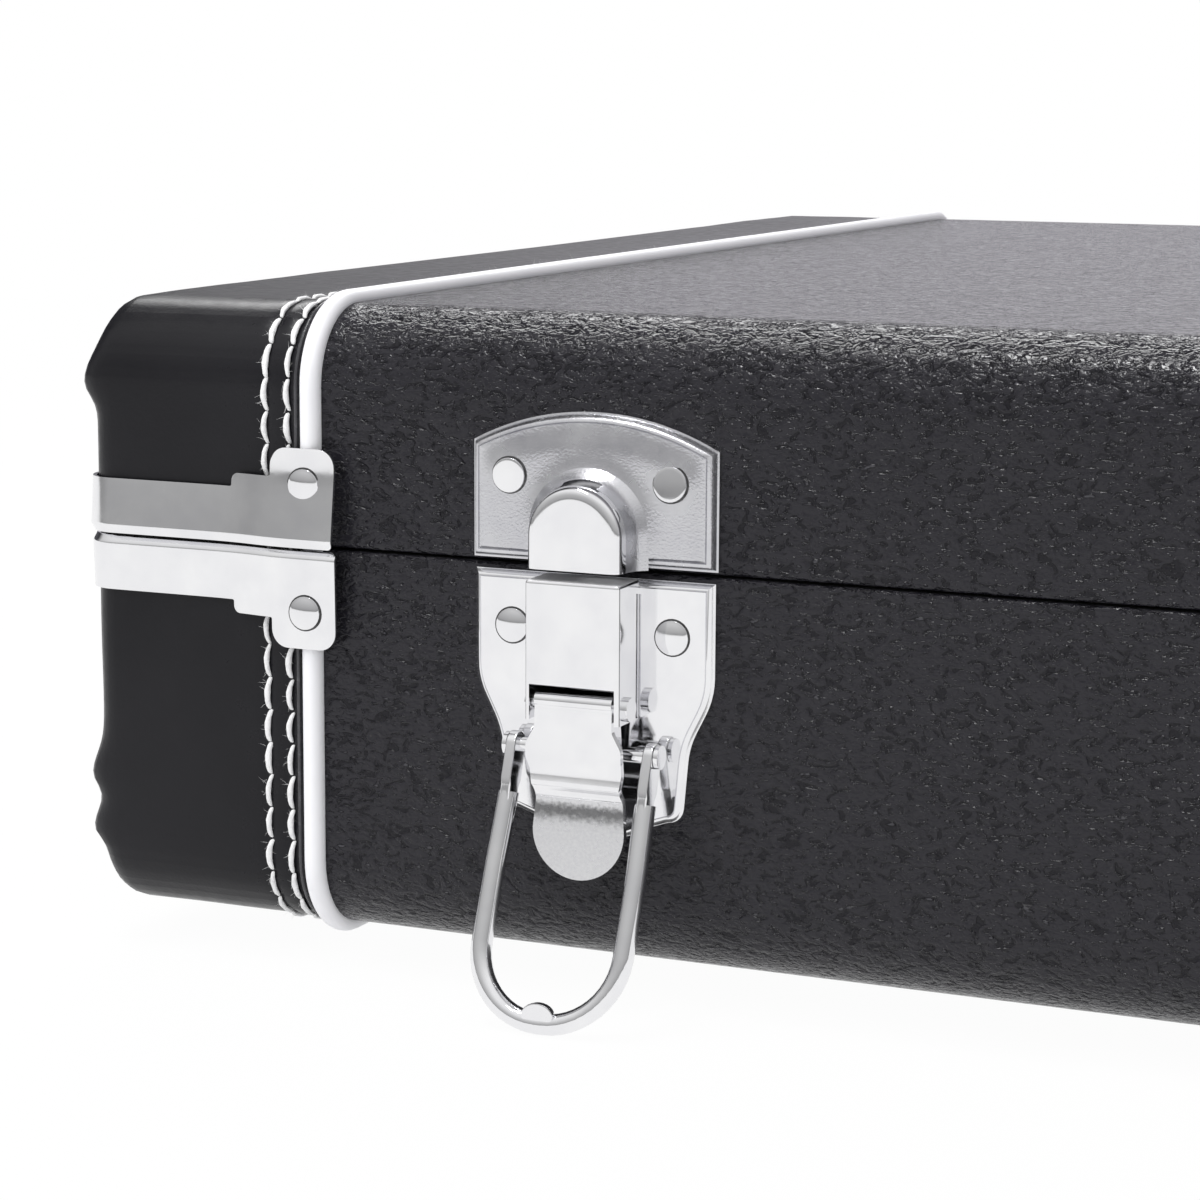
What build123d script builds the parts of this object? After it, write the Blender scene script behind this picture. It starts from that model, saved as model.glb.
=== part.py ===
# Rectangular hard case for an electric guitar: a plywood base and lid in textured vinyl, smooth leather
# end caps with white piping, steel edge strips, four draw latches, three butt hinges and a carrying handle.
#
# The case lies flat, lid up. X runs along its length with the headstock end at -X, the latches and the handle
# are on the front at -Y, and +Z is up. The origin is on the floor, under the middle of the whole footprint.
# Everything is modelled about the middle of the shell and moved to that origin as it is written out.
import math
import os

from build123d import *

# overall
case_length = 1020.0
case_width = 335.0
case_height = 104.0
seam_height = 65.0
foot_height = 6.0
long_edge_round = 13.0
end_edge_round = 5.0

# walls
skin_thickness = 1.0
side_wall = 5.0
flat_wall = 4.0
seam_gap = 0.4
seam_edge_round = 0.8

# end caps, piping and edge strips, their distances taken from the end of the case or from the seam
cap_edge = 42.8
piping_diameter = 3.6
piping_stand_off = 0.2
piping_end_gap = 0.3
strip_thickness = 0.8
strip_height = 9.2
strip_step_height = 11.4
strip_tab_height = 16.2
strip_step_start = 28.6
strip_tab_start = 36.4
strip_reach = 48.3
strip_tab_corner = 3.0
strip_step_corner = 1.0
strip_bead_proud = 0.6
strip_bead_height = 1.6
strip_rivet_height = 10.2
end_rivet_height = 5.4
end_rivet_spacing = 200.0

# rivets and running fits
rivet_head_radius = 2.7
rivet_head_height = 1.4
rivet_head_rim = 0.28
rivet_shank_radius = 1.5
rivet_grip = 4.5
pin_clearance = 0.05

# latches: distances are from the shell's bottom, from its front face and from the middle of each latch
latch_from_end = 93.0
latch_inner_from_middle = 160.0
latch_plate_thickness = 2.2
latch_plate_bevel = 1.2
latch_rivet_offset = 13.65
keeper_width = 41.6
keeper_bottom = 65.7
keeper_shoulder = 84.3
keeper_top = 89.5
keeper_rivet_height = 79.2
hook_half_width = 8.0
hook_depth = 9.2
hook_centre_height = 70.9
hook_edge_round = 1.2
hook_lip = 1.9
hook_seat_height = 77.7
hook_flare_radius = 12.0
hook_flare_depth = 4.4
hook_slot_width = 6.8
hook_slot_thickness = 2.0
hook_slot_depth = 4.5
plate_width = 40.8
plate_top = 63.9
plate_waist_width = 32.6
plate_waist_top = 46.1
plate_waist_bottom = 37.5
plate_foot_width = 30.4
plate_foot = 25.6
plate_bottom = 21.8
plate_waist_round = 6.0
plate_corner_round = 2.0
plate_rivet_height = 55.2
housing_half_width = 8.0
housing_wall = 1.2
housing_depth = 9.2
housing_top = 64.0
housing_foot = 42.0
housing_window_top = 47.5
housing_edge_round = 0.7

# lever and its two pins
lever_pin_depth = 5.8
lever_pin_height = 44.2
lever_pin_radius = 1.2
loop_pin_depth = 4.5
loop_pin_height = 36.8
pin_head_radius = 1.9
pin_head_height = 0.7
lever_sheet = 1.2
lever_side_gap = 0.2
lever_curl_radius = 2.3
lever_neck_foot = 40.2
lever_wing_top = 37.6
lever_wing_half_width = 8.2
lever_waist_half_width = 7.4
lever_crease_height = 32.0
lever_crease_depth = 5.9
lever_bend_height = 27.5
lever_bend_depth = 5.2
lever_tip_height = 16.5
lever_tip_depth = 6.4
lever_tongue_half_width = 7.8
lever_cheek_radius = 2.3
lever_cheek_foot_radius = 1.9
lever_cheek_corner = 0.2

# wire loop
loop_wire_radius = 1.7
loop_half_width = 12.05
loop_reach = 42.8
loop_corner = 11.0
loop_floor_gap = 0.3
loop_eye_radius = 2.2
loop_eye_thickness = 1.8
loop_eye_length = 8.5
loop_eye_outside = 12.5
loop_tongue_width = 5.7
loop_tongue_thickness = 1.4
loop_tongue_length = 2.4

# hinges
hinge_spacing = 340.0
hinge_count = 3
hinge_width = 50.0
hinge_leaf_height = 24.0
hinge_leaf_thickness = 1.4
hinge_knuckle_radius = 3.2
hinge_knuckle_count = 5
hinge_knuckle_gap = 0.3
hinge_wall_gap = 0.3
hinge_pin_radius = 1.5
hinge_rivet_spacing = 30.0
hinge_rivet_height = 15.0

# handle
handle_span = 140.0
handle_pivot_height = 44.0
handle_pivot_depth = 11.5
handle_bar_radius = 2.0
handle_bar_corner = 6.0
handle_arm_inset = 13.0
handle_drop = 30.0
handle_grip_radius = 9.5
handle_grip_length = 100.0
handle_grip_round = 5.0
handle_stop_radius = 3.4
handle_stop_thickness = 1.5
bracket_eye_radius = 4.5
bracket_eye_width = 12.0
bracket_plate_width = 20.0
bracket_plate_height = 40.0
bracket_plate_thickness = 1.5
bracket_plate_round = 4.0
bracket_rivet_spacing = 26.0

# inside
lip_thickness = 2.0
lip_rise = 6.0
lip_depth = 20.0
lip_clearance = 0.6
lining_thickness = 2.0
lining_rim_drop = 1.8
soft_gap = 0.3
lid_pad_thickness = 8.0
lid_pad_margin = 8.0
lid_pad_round = 6.0
pad_height = 45.0
pad_round = 3.0
pad_edges_per_round = 3.0
neck_half_width = 70.0
head_pad_end = -300.0
box_end = -60.0
box_height = 32.0
box_wall = 3.0
box_lid_thickness = 3.0
box_lid_gap = 0.3
box_hinge_gap = 2.5
pull_tab_width = 14.0
pull_tab_length = 30.0
pull_tab_overhang = 9.0
pull_tab_thickness = 1.0
cradle_start = -345.0
cradle_length = 40.0
cradle_height = 40.0
cradle_notch_width = 64.0
cradle_notch_floor = 16.0
bout_radius = 185.0
bout_before_tail = 105.0
shoulder_before_bout = 115.0
tail_radius = 183.0
tail_overreach = 3.0
tail_pad_length = 70.0
tail_pad_inner = 75.0

# feet
foot_radius = 9.0
foot_position_x = 440.0
foot_position_y = 110.0
foot_screw_head_radius = 3.5
foot_screw_head_height = 2.0
foot_screw_shank_radius = 1.7
foot_screw_recess = 1.5

# places that follow from the sizes above
half_length = case_length / 2
half_width = case_width / 2
shell_bottom = foot_height
shell_top = foot_height + case_height
seam = foot_height + seam_height
base_rim = seam - seam_gap / 2
lid_rim = seam + seam_gap / 2
inner_x = half_length - skin_thickness - side_wall
inner_y = half_width - skin_thickness - side_wall
floor_top = shell_bottom + skin_thickness + flat_wall
lining_floor = floor_top + lining_thickness
lid_ceiling = shell_top - skin_thickness - flat_wall
lined_x = inner_x - lip_thickness - lining_thickness
lined_y = inner_y - lip_thickness - lining_thickness
tail_centre = lined_x + tail_overreach - tail_radius
bout_centre = tail_centre - bout_before_tail
shoulder_reach = bout_centre - shoulder_before_bout
piping_proud = piping_diameter / 2 + piping_stand_off
tab_proud = piping_proud + strip_thickness
hinge_axis_y = half_width + hinge_wall_gap + hinge_knuckle_radius
handle_pivot_z = shell_bottom + handle_pivot_height
box_top = lining_floor + box_height
box_lid_top = box_top + box_lid_gap + box_lid_thickness
box_axis_y = lined_y - box_hinge_gap
loop_drop = loop_pin_height + foot_height - loop_wire_radius - loop_floor_gap
loop_hang_angle = math.degrees(math.acos(loop_drop / loop_reach))
loop_lean = loop_reach * math.sin(math.radians(loop_hang_angle))
latch_positions = (
    -half_length + latch_from_end,
    -latch_inner_from_middle,
    latch_inner_from_middle,
    half_length - latch_from_end,
)
hinge_positions = [(i - (hinge_count - 1) / 2) * hinge_spacing for i in range(hinge_count)]
front_reach = half_width + loop_pin_depth + loop_lean + loop_wire_radius
back_reach = hinge_axis_y + hinge_knuckle_radius
origin_shift_y = (front_reach - back_reach) / 2
far = 2 * case_length
cut_margin = 1.0
sides = {"left": -1, "right": 1}


def block(x0, x1, y0, y1, z0, z1):
    middle = Pos((x0 + x1) / 2, (y0 + y1) / 2, (z0 + z1) / 2)
    return middle * Box(abs(x1 - x0), abs(y1 - y0), abs(z1 - z0))


def rod(x0, x1, y, z, radius):
    return Pos((x0 + x1) / 2, y, z) * Rot(0, 90, 0) * Cylinder(radius, abs(x1 - x0))


def upright(x, y, z0, z1, radius):
    return Pos(x, y, (z0 + z1) / 2) * Cylinder(radius, z1 - z0)


# an outline drawn in X and Z, made solid from the depth y0 out to the depth y1 in front of it
def from_front(outline, y0, y1):
    return extrude(Plane.XZ.offset(y0) * outline, amount=y1 - y0)


# an outline drawn in Y and Z, made solid from x0 to x1
def along_x(outline, x0, x1):
    return extrude(Plane.YZ.offset(x0) * outline, amount=x1 - x0)


def on_front(x, depth, z):
    return Pos(x, -half_width - depth, z) * Rot(90, 0, 0)


def on_back(x, depth, z):
    return Pos(x, half_width + depth, z) * Rot(-90, 0, 0)


def on_end(side, depth, y, z):
    return Pos(side * (half_length + depth), y, z) * Rot(0, 90 * side, 0)


# a domed rivet whose head stands on z = 0, with a shank that goes through the metal under it into the wood
def rivet(metal):
    head = Pos(0, 0, rivet_head_height / 2) * Cylinder(rivet_head_radius, rivet_head_height)
    head = fillet(head.edges().sort_by(Axis.Z)[-1], rivet_head_height - rivet_head_rim)
    return head + upright(0, 0, -metal - rivet_grip, 0, rivet_shank_radius)


# shells and coverings

def closed_form(inset):
    profile_round = long_edge_round - inset
    profile = RectangleRounded(case_width - 2 * inset, case_height - 2 * inset, profile_round)
    body = along_x(profile, inset - half_length, half_length - inset)
    ends = body.faces().sort_by(Axis.X)
    body = fillet(ends[0].edges() + ends[-1].edges(), end_edge_round - inset)
    return Pos(0, 0, (shell_bottom + shell_top) / 2) * body


def below_seam(form):
    return form & block(-far, far, -far, far, -far, base_rim)


def above_seam(form):
    return form & block(-far, far, -far, far, lid_rim, far)


def wooden_boxes():
    wood = closed_form(skin_thickness)
    base = below_seam(wood) - block(-inner_x, inner_x, -inner_y, inner_y, floor_top, far)
    lid = above_seam(wood) - block(-inner_x, inner_x, -inner_y, inner_y, -far, lid_ceiling)
    return base, lid


# one half of the covering, cut at the two pipings into the left cap, the vinyl and the right cap
def covering(half, rim_face):
    soft_edge = fillet(rim_face.edges(), seam_edge_round)
    skin = soft_edge - closed_form(skin_thickness)
    groove = piping_diameter / 2
    vinyl_end = half_length - cap_edge - groove
    cap_start = half_length - cap_edge + groove
    return (
        skin & block(-far, -cap_start, -far, far, -far, far),
        skin & block(-vinyl_end, vinyl_end, -far, far, -far, far),
        skin & block(cap_start, far, -far, far, -far, far),
    )


# cord laid over the joint of vinyl and leather, from the seam at the front, over the case, to the seam behind
def piping(side, z_end, z_far):
    y = half_width + piping_stand_off
    corners = [(-y, z_end), (-y, z_far), (y, z_far), (y, z_end)]
    route = FilletPolyline(*corners, radius=long_edge_round + piping_stand_off)
    path = Plane.YZ.offset(side * (half_length - cap_edge)) * route
    section = Plane(origin=path @ 0, z_dir=path % 0) * Circle(piping_diameter / 2)
    return sweep(section, path=path) - closed_form(skin_thickness)


def base_piping(side):
    return piping(side, base_rim - piping_end_gap, shell_bottom - piping_stand_off)


def lid_piping(side):
    return piping(side, lid_rim + piping_end_gap, shell_top + piping_stand_off)


def end_ring(inner, outer, z0, z1):
    outline = RectangleRounded(case_length + 2 * outer, case_width + 2 * outer, end_edge_round + outer)
    hole = RectangleRounded(case_length + 2 * inner, case_width + 2 * inner, end_edge_round + inner)
    return Pos(0, 0, min(z0, z1)) * extrude(outline - hole, amount=abs(z1 - z0))


# the strip seen from the front: low along the end, one step up, then the tab; drawn for the left end
def strip_outline(rim, up):
    def point(distance, rise):
        return (distance - half_length, rim + up * rise)

    beyond = -end_edge_round
    path = FilletPolyline(
        point(beyond, 0),
        point(strip_reach, 0),
        point(strip_reach, strip_tab_height),
        point(strip_tab_start, strip_tab_height),
        point(strip_tab_start, strip_step_height),
        point(strip_step_start, strip_step_height),
        point(strip_step_start, strip_height),
        point(beyond, strip_height),
        radius=[strip_step_corner, strip_tab_corner, strip_tab_corner]
        + [strip_step_corner] * 3,
    )
    closing = Line(path @ 1, path @ 0)
    return make_face(path.edges() + closing.edges())


# steel strip round one end at the seam, with a raised tab at front and back that holds the piping's end down
def edge_strip(side, rim, up, cord):
    band = end_ring(0, strip_thickness, rim, rim + up * strip_tab_height)
    bead_outside = strip_thickness + strip_bead_proud
    band += end_ring(strip_thickness / 2, bead_outside, rim, rim + up * strip_bead_height)
    tab_x = cap_edge - half_length
    tab_half = strip_reach - cap_edge
    raised = block(
        tab_x - tab_half,
        tab_x + tab_half,
        -half_width - tab_proud,
        half_width + tab_proud,
        rim + up * strip_bead_height,
        rim + up * strip_tab_height,
    )
    case_between = block(-far, far, -half_width, half_width, -far, far)
    edges = raised.edges().filter_by(Axis.Z)
    raised = fillet(edges, strip_thickness) - case_between
    strip = (band + raised) & from_front(strip_outline(rim, up), -far, far)
    if side > 0:
        strip = mirror(strip, about=Plane.YZ)
    return strip - cord


def strip_rivets(side, rim, up):
    x = side * (half_length - cap_edge)
    z_tab = rim + up * strip_rivet_height
    z_end = rim + up * end_rivet_height
    tabs = [on_front(x, tab_proud, z_tab) * rivet(tab_proud), on_back(x, tab_proud, z_tab) * rivet(tab_proud)]
    places = (-end_rivet_spacing / 2, end_rivet_spacing / 2)
    ends = [on_end(side, strip_thickness, y, z_end) * rivet(strip_thickness) for y in places]
    return tabs + ends


# latch pieces, drawn with x across the latch, y = 0 on the front face and z from the shell's bottom

def place_latch(x, piece):
    return Pos(x, -half_width, shell_bottom) * piece


def tombstone(half, bottom):
    z = hook_centre_height
    foot = Polyline((-half, z), (-half, bottom), (half, bottom), (half, z))
    crown = ThreePointArc((half, z), (0, z + half), (-half, z))
    return make_face(foot.edges() + crown.edges())


def bevelled_plate(outline):
    plate = from_front(outline, 0, latch_plate_thickness)
    return chamfer(plate.faces().sort_by(Axis.Y)[0].edges(), latch_plate_bevel)


# upper plate, with the hook that the loop drops over and a slot behind its lip for the loop's tongue
def keeper():
    half = keeper_width / 2
    sides_and_foot = Polyline(
        (-half, keeper_shoulder), (-half, keeper_bottom), (half, keeper_bottom), (half, keeper_shoulder)
    )
    arch = ThreePointArc((half, keeper_shoulder), (0, keeper_top), (-half, keeper_shoulder))
    plate = bevelled_plate(make_face(sides_and_foot.edges() + arch.edges()))
    flare = loft(
        [
            Plane.XZ.offset(latch_plate_thickness - latch_plate_bevel)
            * tombstone(hook_flare_radius, keeper_bottom),
            Plane.XZ.offset(hook_flare_depth) * tombstone(hook_half_width, keeper_bottom),
        ]
    )
    hook = from_front(tombstone(hook_half_width, keeper_bottom), 0, hook_depth)
    hook = fillet(hook.faces().sort_by(Axis.Y)[0].edges(), hook_edge_round)
    lip_back = hook_lip - hook_depth
    seat = block(-half, half, lip_back, -latch_plate_thickness, hook_seat_height, keeper_top)
    slot_half = hook_slot_width / 2
    slot = block(
        -slot_half,
        slot_half,
        -loop_pin_depth - hook_slot_thickness / 2,
        -loop_pin_depth + hook_slot_thickness / 2,
        hook_seat_height - hook_slot_depth,
        keeper_top,
    )
    return plate + flare + hook - seat - slot


# lower plate, with the open-fronted housing whose two jambs hold the lever's pin
def latch_plate():
    half, waist, foot = plate_width / 2, plate_waist_width / 2, plate_foot_width / 2
    outline = FilletPolyline(
        (-foot, plate_foot),
        (-waist, plate_waist_bottom),
        (-half, plate_waist_top),
        (-half, plate_top),
        (half, plate_top),
        (half, plate_waist_top),
        (waist, plate_waist_bottom),
        (foot, plate_foot),
        radius=[plate_waist_round] * 2 + [plate_corner_round] * 2 + [plate_waist_round] * 2,
    )
    toe = ThreePointArc((foot, plate_foot), (0, plate_bottom), (-foot, plate_foot))
    plate = bevelled_plate(make_face(outline.edges() + toe.edges()))
    outer, inner = housing_half_width, housing_half_width - housing_wall
    shell = block(-outer, outer, -housing_depth, -latch_plate_thickness / 2, housing_foot, housing_top)
    front_edges = shell.faces().sort_by(Axis.Y)[0].edges().sort_by(Axis.Z)[1:]
    shell = fillet(front_edges, housing_edge_round)
    shell -= block(
        -inner,
        inner,
        -housing_depth + housing_wall,
        0,
        housing_foot - cut_margin,
        housing_top - housing_wall,
    )
    shell -= block(
        -inner, inner, -housing_depth - cut_margin, 0, housing_foot - cut_margin, housing_window_top
    )
    pin_hole = rod(-outer - cut_margin, outer + cut_margin, -lever_pin_depth, lever_pin_height, lever_pin_radius)
    return plate + shell - pin_hole


def headed_pin(half, depth, height, radius):
    pin = rod(-half, half, -depth, height, radius)
    for side in (-1, 1):
        pin += rod(side * half, side * (half + pin_head_height), -depth, height, pin_head_radius)
    return pin


def lever_pin():
    return headed_pin(housing_half_width, lever_pin_depth, lever_pin_height, lever_pin_radius)


def loop_pin():
    return headed_pin(loop_eye_outside + pin_clearance, loop_pin_depth, loop_pin_height, lever_pin_radius)


# over-centre lever: one bent sheet from the curl at its pin to the finger tongue, and two cheeks for the pins
def lever():
    curl = lever_curl_radius
    slant = math.sqrt(0.5)
    bend = ThreePointArc(
        (-lever_pin_depth, lever_pin_height + curl),
        (-lever_pin_depth - curl * slant, lever_pin_height + curl * slant),
        (-lever_pin_depth - curl, lever_pin_height),
    )
    face_line = Polyline(
        (-lever_pin_depth - curl, lever_pin_height),
        (-lever_pin_depth - curl, loop_pin_height),
        (-lever_crease_depth, lever_crease_height),
        (-lever_bend_depth, lever_bend_height),
        (-lever_tip_depth, lever_tip_height),
    )
    section = trace(bend, lever_sheet) + trace(face_line, lever_sheet)
    wide = lever_wing_half_width
    sheet = along_x(section, -wide, wide)
    neck = housing_half_width - housing_wall - lever_side_gap
    waist = lever_waist_half_width
    tongue = lever_tongue_half_width
    round_centre = lever_tip_height + tongue
    top = lever_pin_height + curl + lever_sheet
    half_outline = [
        (tongue, round_centre),
        (waist, lever_crease_height),
        (wide, lever_wing_top - (wide - neck)),
        (neck, lever_neck_foot),
        (neck, top),
    ]
    mirrored = [(-x, z) for x, z in reversed(half_outline)]
    upper = Polyline(*half_outline, *mirrored)
    tip = ThreePointArc((-tongue, round_centre), (0, lever_tip_height), (tongue, round_centre))
    body = sheet & from_front(make_face(upper.edges() + tip.edges()), -far, far)
    cheek_circles = [
        Pos(-lever_pin_depth, lever_pin_height) * Circle(lever_cheek_radius),
        Pos(-loop_pin_depth, loop_pin_height) * Circle(lever_cheek_foot_radius),
        Pos(-lever_pin_depth - curl + lever_cheek_corner, loop_pin_height) * Circle(lever_cheek_corner),
    ]
    cheek = make_hull([e for circle in cheek_circles for e in circle.edges()])
    for side in (-1, 1):
        x0, x1 = sorted((side * neck, side * (neck - lever_sheet)))
        body += along_x(cheek, x0, x1)
    body -= rod(-wide, wide, -lever_pin_depth, lever_pin_height, lever_pin_radius + pin_clearance)
    return body - rod(-wide, wide, -loop_pin_depth, loop_pin_height, lever_pin_radius)


# wire loop hanging from its pin until its end meets the floor, with flattened eyes and a tongue in the bight
def loop():
    half, reach = loop_half_width, loop_reach
    start = loop_wire_radius - loop_eye_length
    route = FilletPolyline(
        (-half, start), (-half, -reach), (half, -reach), (half, start), radius=loop_corner
    )
    path = Plane.XZ * route
    wire = sweep(Plane(origin=path @ 0, z_dir=path % 0) * Circle(loop_wire_radius), path=path)
    eye_outline = Circle(loop_eye_radius) + Pos(0, -loop_eye_length / 2) * Rectangle(
        2 * loop_eye_radius, loop_eye_length
    )
    for side in (-1, 1):
        x0, x1 = sorted((side * loop_eye_outside, side * (loop_eye_outside - loop_eye_thickness)))
        wire += along_x(eye_outline, x0, x1)
    tongue_top = loop_wire_radius + loop_tongue_length - reach
    half_tongue = loop_tongue_width / 2
    half_sheet = loop_tongue_thickness / 2
    wire += block(-half_tongue, half_tongue, -half_sheet, half_sheet, -reach, tongue_top)
    wire -= rod(-far, far, 0, 0, lever_pin_radius + pin_clearance)
    return Pos(0, -loop_pin_depth, loop_pin_height) * Rot(-loop_hang_angle, 0, 0) * wire


def latch_rivets(x, height):
    places = (x - latch_rivet_offset, x + latch_rivet_offset)
    z = shell_bottom + height
    return [on_front(px, latch_plate_thickness, z) * rivet(latch_plate_thickness) for px in places]


# butt hinge: each leaf carries every other knuckle and is cut back beside the knuckles of its partner

def hinge_leaf(x, up, first):
    pitch = hinge_width / hinge_knuckle_count
    start = x - hinge_width / 2
    inner = half_width
    leaf = block(
        start, start + hinge_width, inner, inner + hinge_leaf_thickness, seam, seam + up * hinge_leaf_height
    )
    cut_back = hinge_knuckle_radius + hinge_knuckle_gap
    own = hinge_pin_radius if up < 0 else hinge_pin_radius + pin_clearance
    for i in range(hinge_knuckle_count):
        x0, x1 = start + i * pitch, start + (i + 1) * pitch
        if i % 2 == first:
            x0, x1 = x0 + hinge_knuckle_gap / 2, x1 - hinge_knuckle_gap / 2
            leaf += rod(x0, x1, hinge_axis_y, seam, hinge_knuckle_radius)
            leaf -= block(
                x0, x1, inner - cut_margin, inner + hinge_wall_gap, seam - cut_back, seam + cut_back
            )
        else:
            x0, x1 = x0 - hinge_knuckle_gap / 2, x1 + hinge_knuckle_gap / 2
            leaf -= block(
                x0, x1, inner - cut_margin, hinge_axis_y + cut_back, seam - cut_back, seam + cut_back
            )
    return leaf - rod(start - cut_margin, start + hinge_width + cut_margin, hinge_axis_y, seam, own)


def hinge_rivets(x, up):
    places = (x - hinge_rivet_spacing / 2, x + hinge_rivet_spacing / 2)
    z = seam + up * hinge_rivet_height
    return [on_back(px, hinge_leaf_thickness, z) * rivet(hinge_leaf_thickness) for px in places]


def hinge_pin(x):
    return rod(x - hinge_width / 2, x + hinge_width / 2, hinge_axis_y, seam, hinge_pin_radius)


# carrying handle: a wire bow in two eyes, with a moulded grip on its lower bar

def handle_bar():
    eye_half = bracket_eye_width / 2
    outer = handle_span / 2 + eye_half + pin_clearance + handle_stop_thickness
    arm = handle_span / 2 - handle_arm_inset
    route = FilletPolyline(
        (-outer, 0),
        (-arm, 0),
        (-arm, -handle_drop),
        (arm, -handle_drop),
        (arm, 0),
        (outer, 0),
        radius=handle_bar_corner,
    )
    path = Plane.XZ * route
    bar = sweep(Plane(origin=path @ 0, z_dir=path % 0) * Circle(handle_bar_radius), path=path)
    for side in (-1, 1):
        bar += rod(side * (outer - handle_stop_thickness), side * outer, 0, 0, handle_stop_radius)
    return Pos(0, -half_width - handle_pivot_depth, handle_pivot_z) * bar


def handle_grip():
    y, z = -half_width - handle_pivot_depth, handle_pivot_z - handle_drop
    half = handle_grip_length / 2
    grip = rod(-half, half, y, z, handle_grip_radius)
    grip = fillet(grip.edges().filter_by(GeomType.CIRCLE), handle_grip_round)
    return grip - rod(-half, half, y, z, handle_bar_radius)


def handle_bracket(x):
    z0 = handle_pivot_z - bracket_plate_height / 2
    z1 = handle_pivot_z + bracket_plate_height / 2
    outline = Pos(x, (z0 + z1) / 2) * RectangleRounded(
        bracket_plate_width, z1 - z0, bracket_plate_round
    )
    plate = Pos(0, -half_width, 0) * from_front(outline, 0, bracket_plate_thickness)
    eye_half = bracket_eye_width / 2
    y = -half_width - handle_pivot_depth
    eye = rod(x - eye_half, x + eye_half, y, handle_pivot_z, bracket_eye_radius)
    eye += block(
        x - eye_half,
        x + eye_half,
        y,
        -half_width,
        handle_pivot_z - bracket_eye_radius,
        handle_pivot_z + bracket_eye_radius,
    )
    bore = rod(x - far, x + far, y, handle_pivot_z, handle_bar_radius + pin_clearance)
    return plate + eye - bore


def bracket_rivets(x):
    places = (handle_pivot_z - bracket_rivet_spacing / 2, handle_pivot_z + bracket_rivet_spacing / 2)
    return [on_front(x, bracket_plate_thickness, z) * rivet(bracket_plate_thickness) for z in places]


# inside

# wooden lip round the base's mouth, set in by a running gap where it stands up inside the lid
def rim_lip():
    z0, z1 = base_rim - lip_depth, base_rim + lip_rise
    mouth_x, mouth_y = inner_x - lip_thickness, inner_y - lip_thickness
    ring = block(-inner_x, inner_x, -inner_y, inner_y, z0, base_rim)
    upper_x, upper_y = inner_x - lip_clearance, inner_y - lip_clearance
    ring += block(-upper_x, upper_x, -upper_y, upper_y, base_rim, z1)
    return ring - block(-mouth_x, mouth_x, -mouth_y, mouth_y, z0 - cut_margin, z1 + cut_margin)


def base_lining(lip):
    top = base_rim - lining_rim_drop
    tray = block(-inner_x, inner_x, -inner_y, inner_y, floor_top, top)
    return tray - lip - block(-lined_x, lined_x, -lined_y, lined_y, lining_floor, top + cut_margin)


def lid_lining():
    bottom = lid_rim + lip_rise + lip_clearance
    tray = block(-inner_x, inner_x, -inner_y, inner_y, bottom, lid_ceiling)
    x, y = inner_x - lining_thickness, inner_y - lining_thickness
    return tray - block(-x, x, -y, y, bottom - cut_margin, lid_ceiling - lining_thickness)


def lid_pad():
    x = inner_x - lining_thickness - lid_pad_margin
    y = inner_y - lining_thickness - lid_pad_margin
    top = lid_ceiling - lining_thickness
    pad = block(-x, x, -y, y, top - lid_pad_thickness, top)
    lower = pad.faces().sort_by(Axis.Z)[0].edges()
    return fillet(pad.edges().filter_by(Axis.Z) + lower, lid_pad_round)


def soft_block(x0, x1, y0, y1, hollow):
    pad = block(x0, x1, y0, y1, lining_floor, lining_floor + pad_height)
    if hollow:
        pad -= hollow
    rim = pad.faces().sort_by(Axis.Z)[-1].edges()
    shortest = min(edge.length for edge in rim)
    return fillet(rim, min(pad_round, shortest / pad_edges_per_round))


def body_hollow(centre, radius):
    return upright(centre, 0, lining_floor - cut_margin, far, radius)


# foam blocks that leave the shape of the guitar between them
def body_pads():
    wall_x, wall_y = lined_x - soft_gap, lined_y - soft_gap
    neck = neck_half_width
    bout = body_hollow(bout_centre, bout_radius)
    tail = body_hollow(tail_centre, tail_radius)
    tail_pads = [
        soft_block(lined_x - tail_pad_length, wall_x, *sorted((side * tail_pad_inner, side * wall_y)), tail)
        for side in (-1, 1)
    ]
    return {
        "front_neck_pad": soft_block(-wall_x, shoulder_reach, -wall_y, -neck, bout),
        "back_head_pad": soft_block(-wall_x, head_pad_end - soft_gap, neck, wall_y, None),
        "back_shoulder_pad": soft_block(box_end + soft_gap, shoulder_reach, neck, wall_y, bout),
        "tail_pads": tail_pads,
    }


def neck_cradle():
    half = neck_half_width - soft_gap
    end = cradle_start + cradle_length
    cradle = block(cradle_start, end, -half, half, lining_floor, lining_floor + cradle_height)
    notch_half = cradle_notch_width / 2
    floor = lining_floor + cradle_notch_floor
    cradle -= block(cradle_start - cut_margin, end + cut_margin, -notch_half, notch_half, floor, far)
    along_notch = [e for e in cradle.edges().filter_by(Axis.X) if e.center().Z > lining_floor + cut_margin]
    return fillet(along_notch, pad_round)


def compartment_box():
    outer = block(head_pad_end, box_end, neck_half_width, lined_y, lining_floor, box_top)
    wall = box_wall
    inner = block(
        head_pad_end + wall, box_end - wall, neck_half_width + wall, lined_y - wall, lining_floor + wall, far
    )
    return outer - inner


def compartment_lid():
    z0 = box_top + box_lid_gap
    return block(head_pad_end, box_end, neck_half_width, box_axis_y, z0, box_lid_top)


def pull_tab():
    x = (head_pad_end + box_end) / 2
    y0 = neck_half_width - pull_tab_overhang
    half = pull_tab_width / 2
    return block(x - half, x + half, y0, y0 + pull_tab_length, box_lid_top, box_lid_top + pull_tab_thickness)


# feet under the base, each held by one screw in a recess

foot_places = [(x, y) for x in (-foot_position_x, foot_position_x) for y in (-foot_position_y, foot_position_y)]


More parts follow.
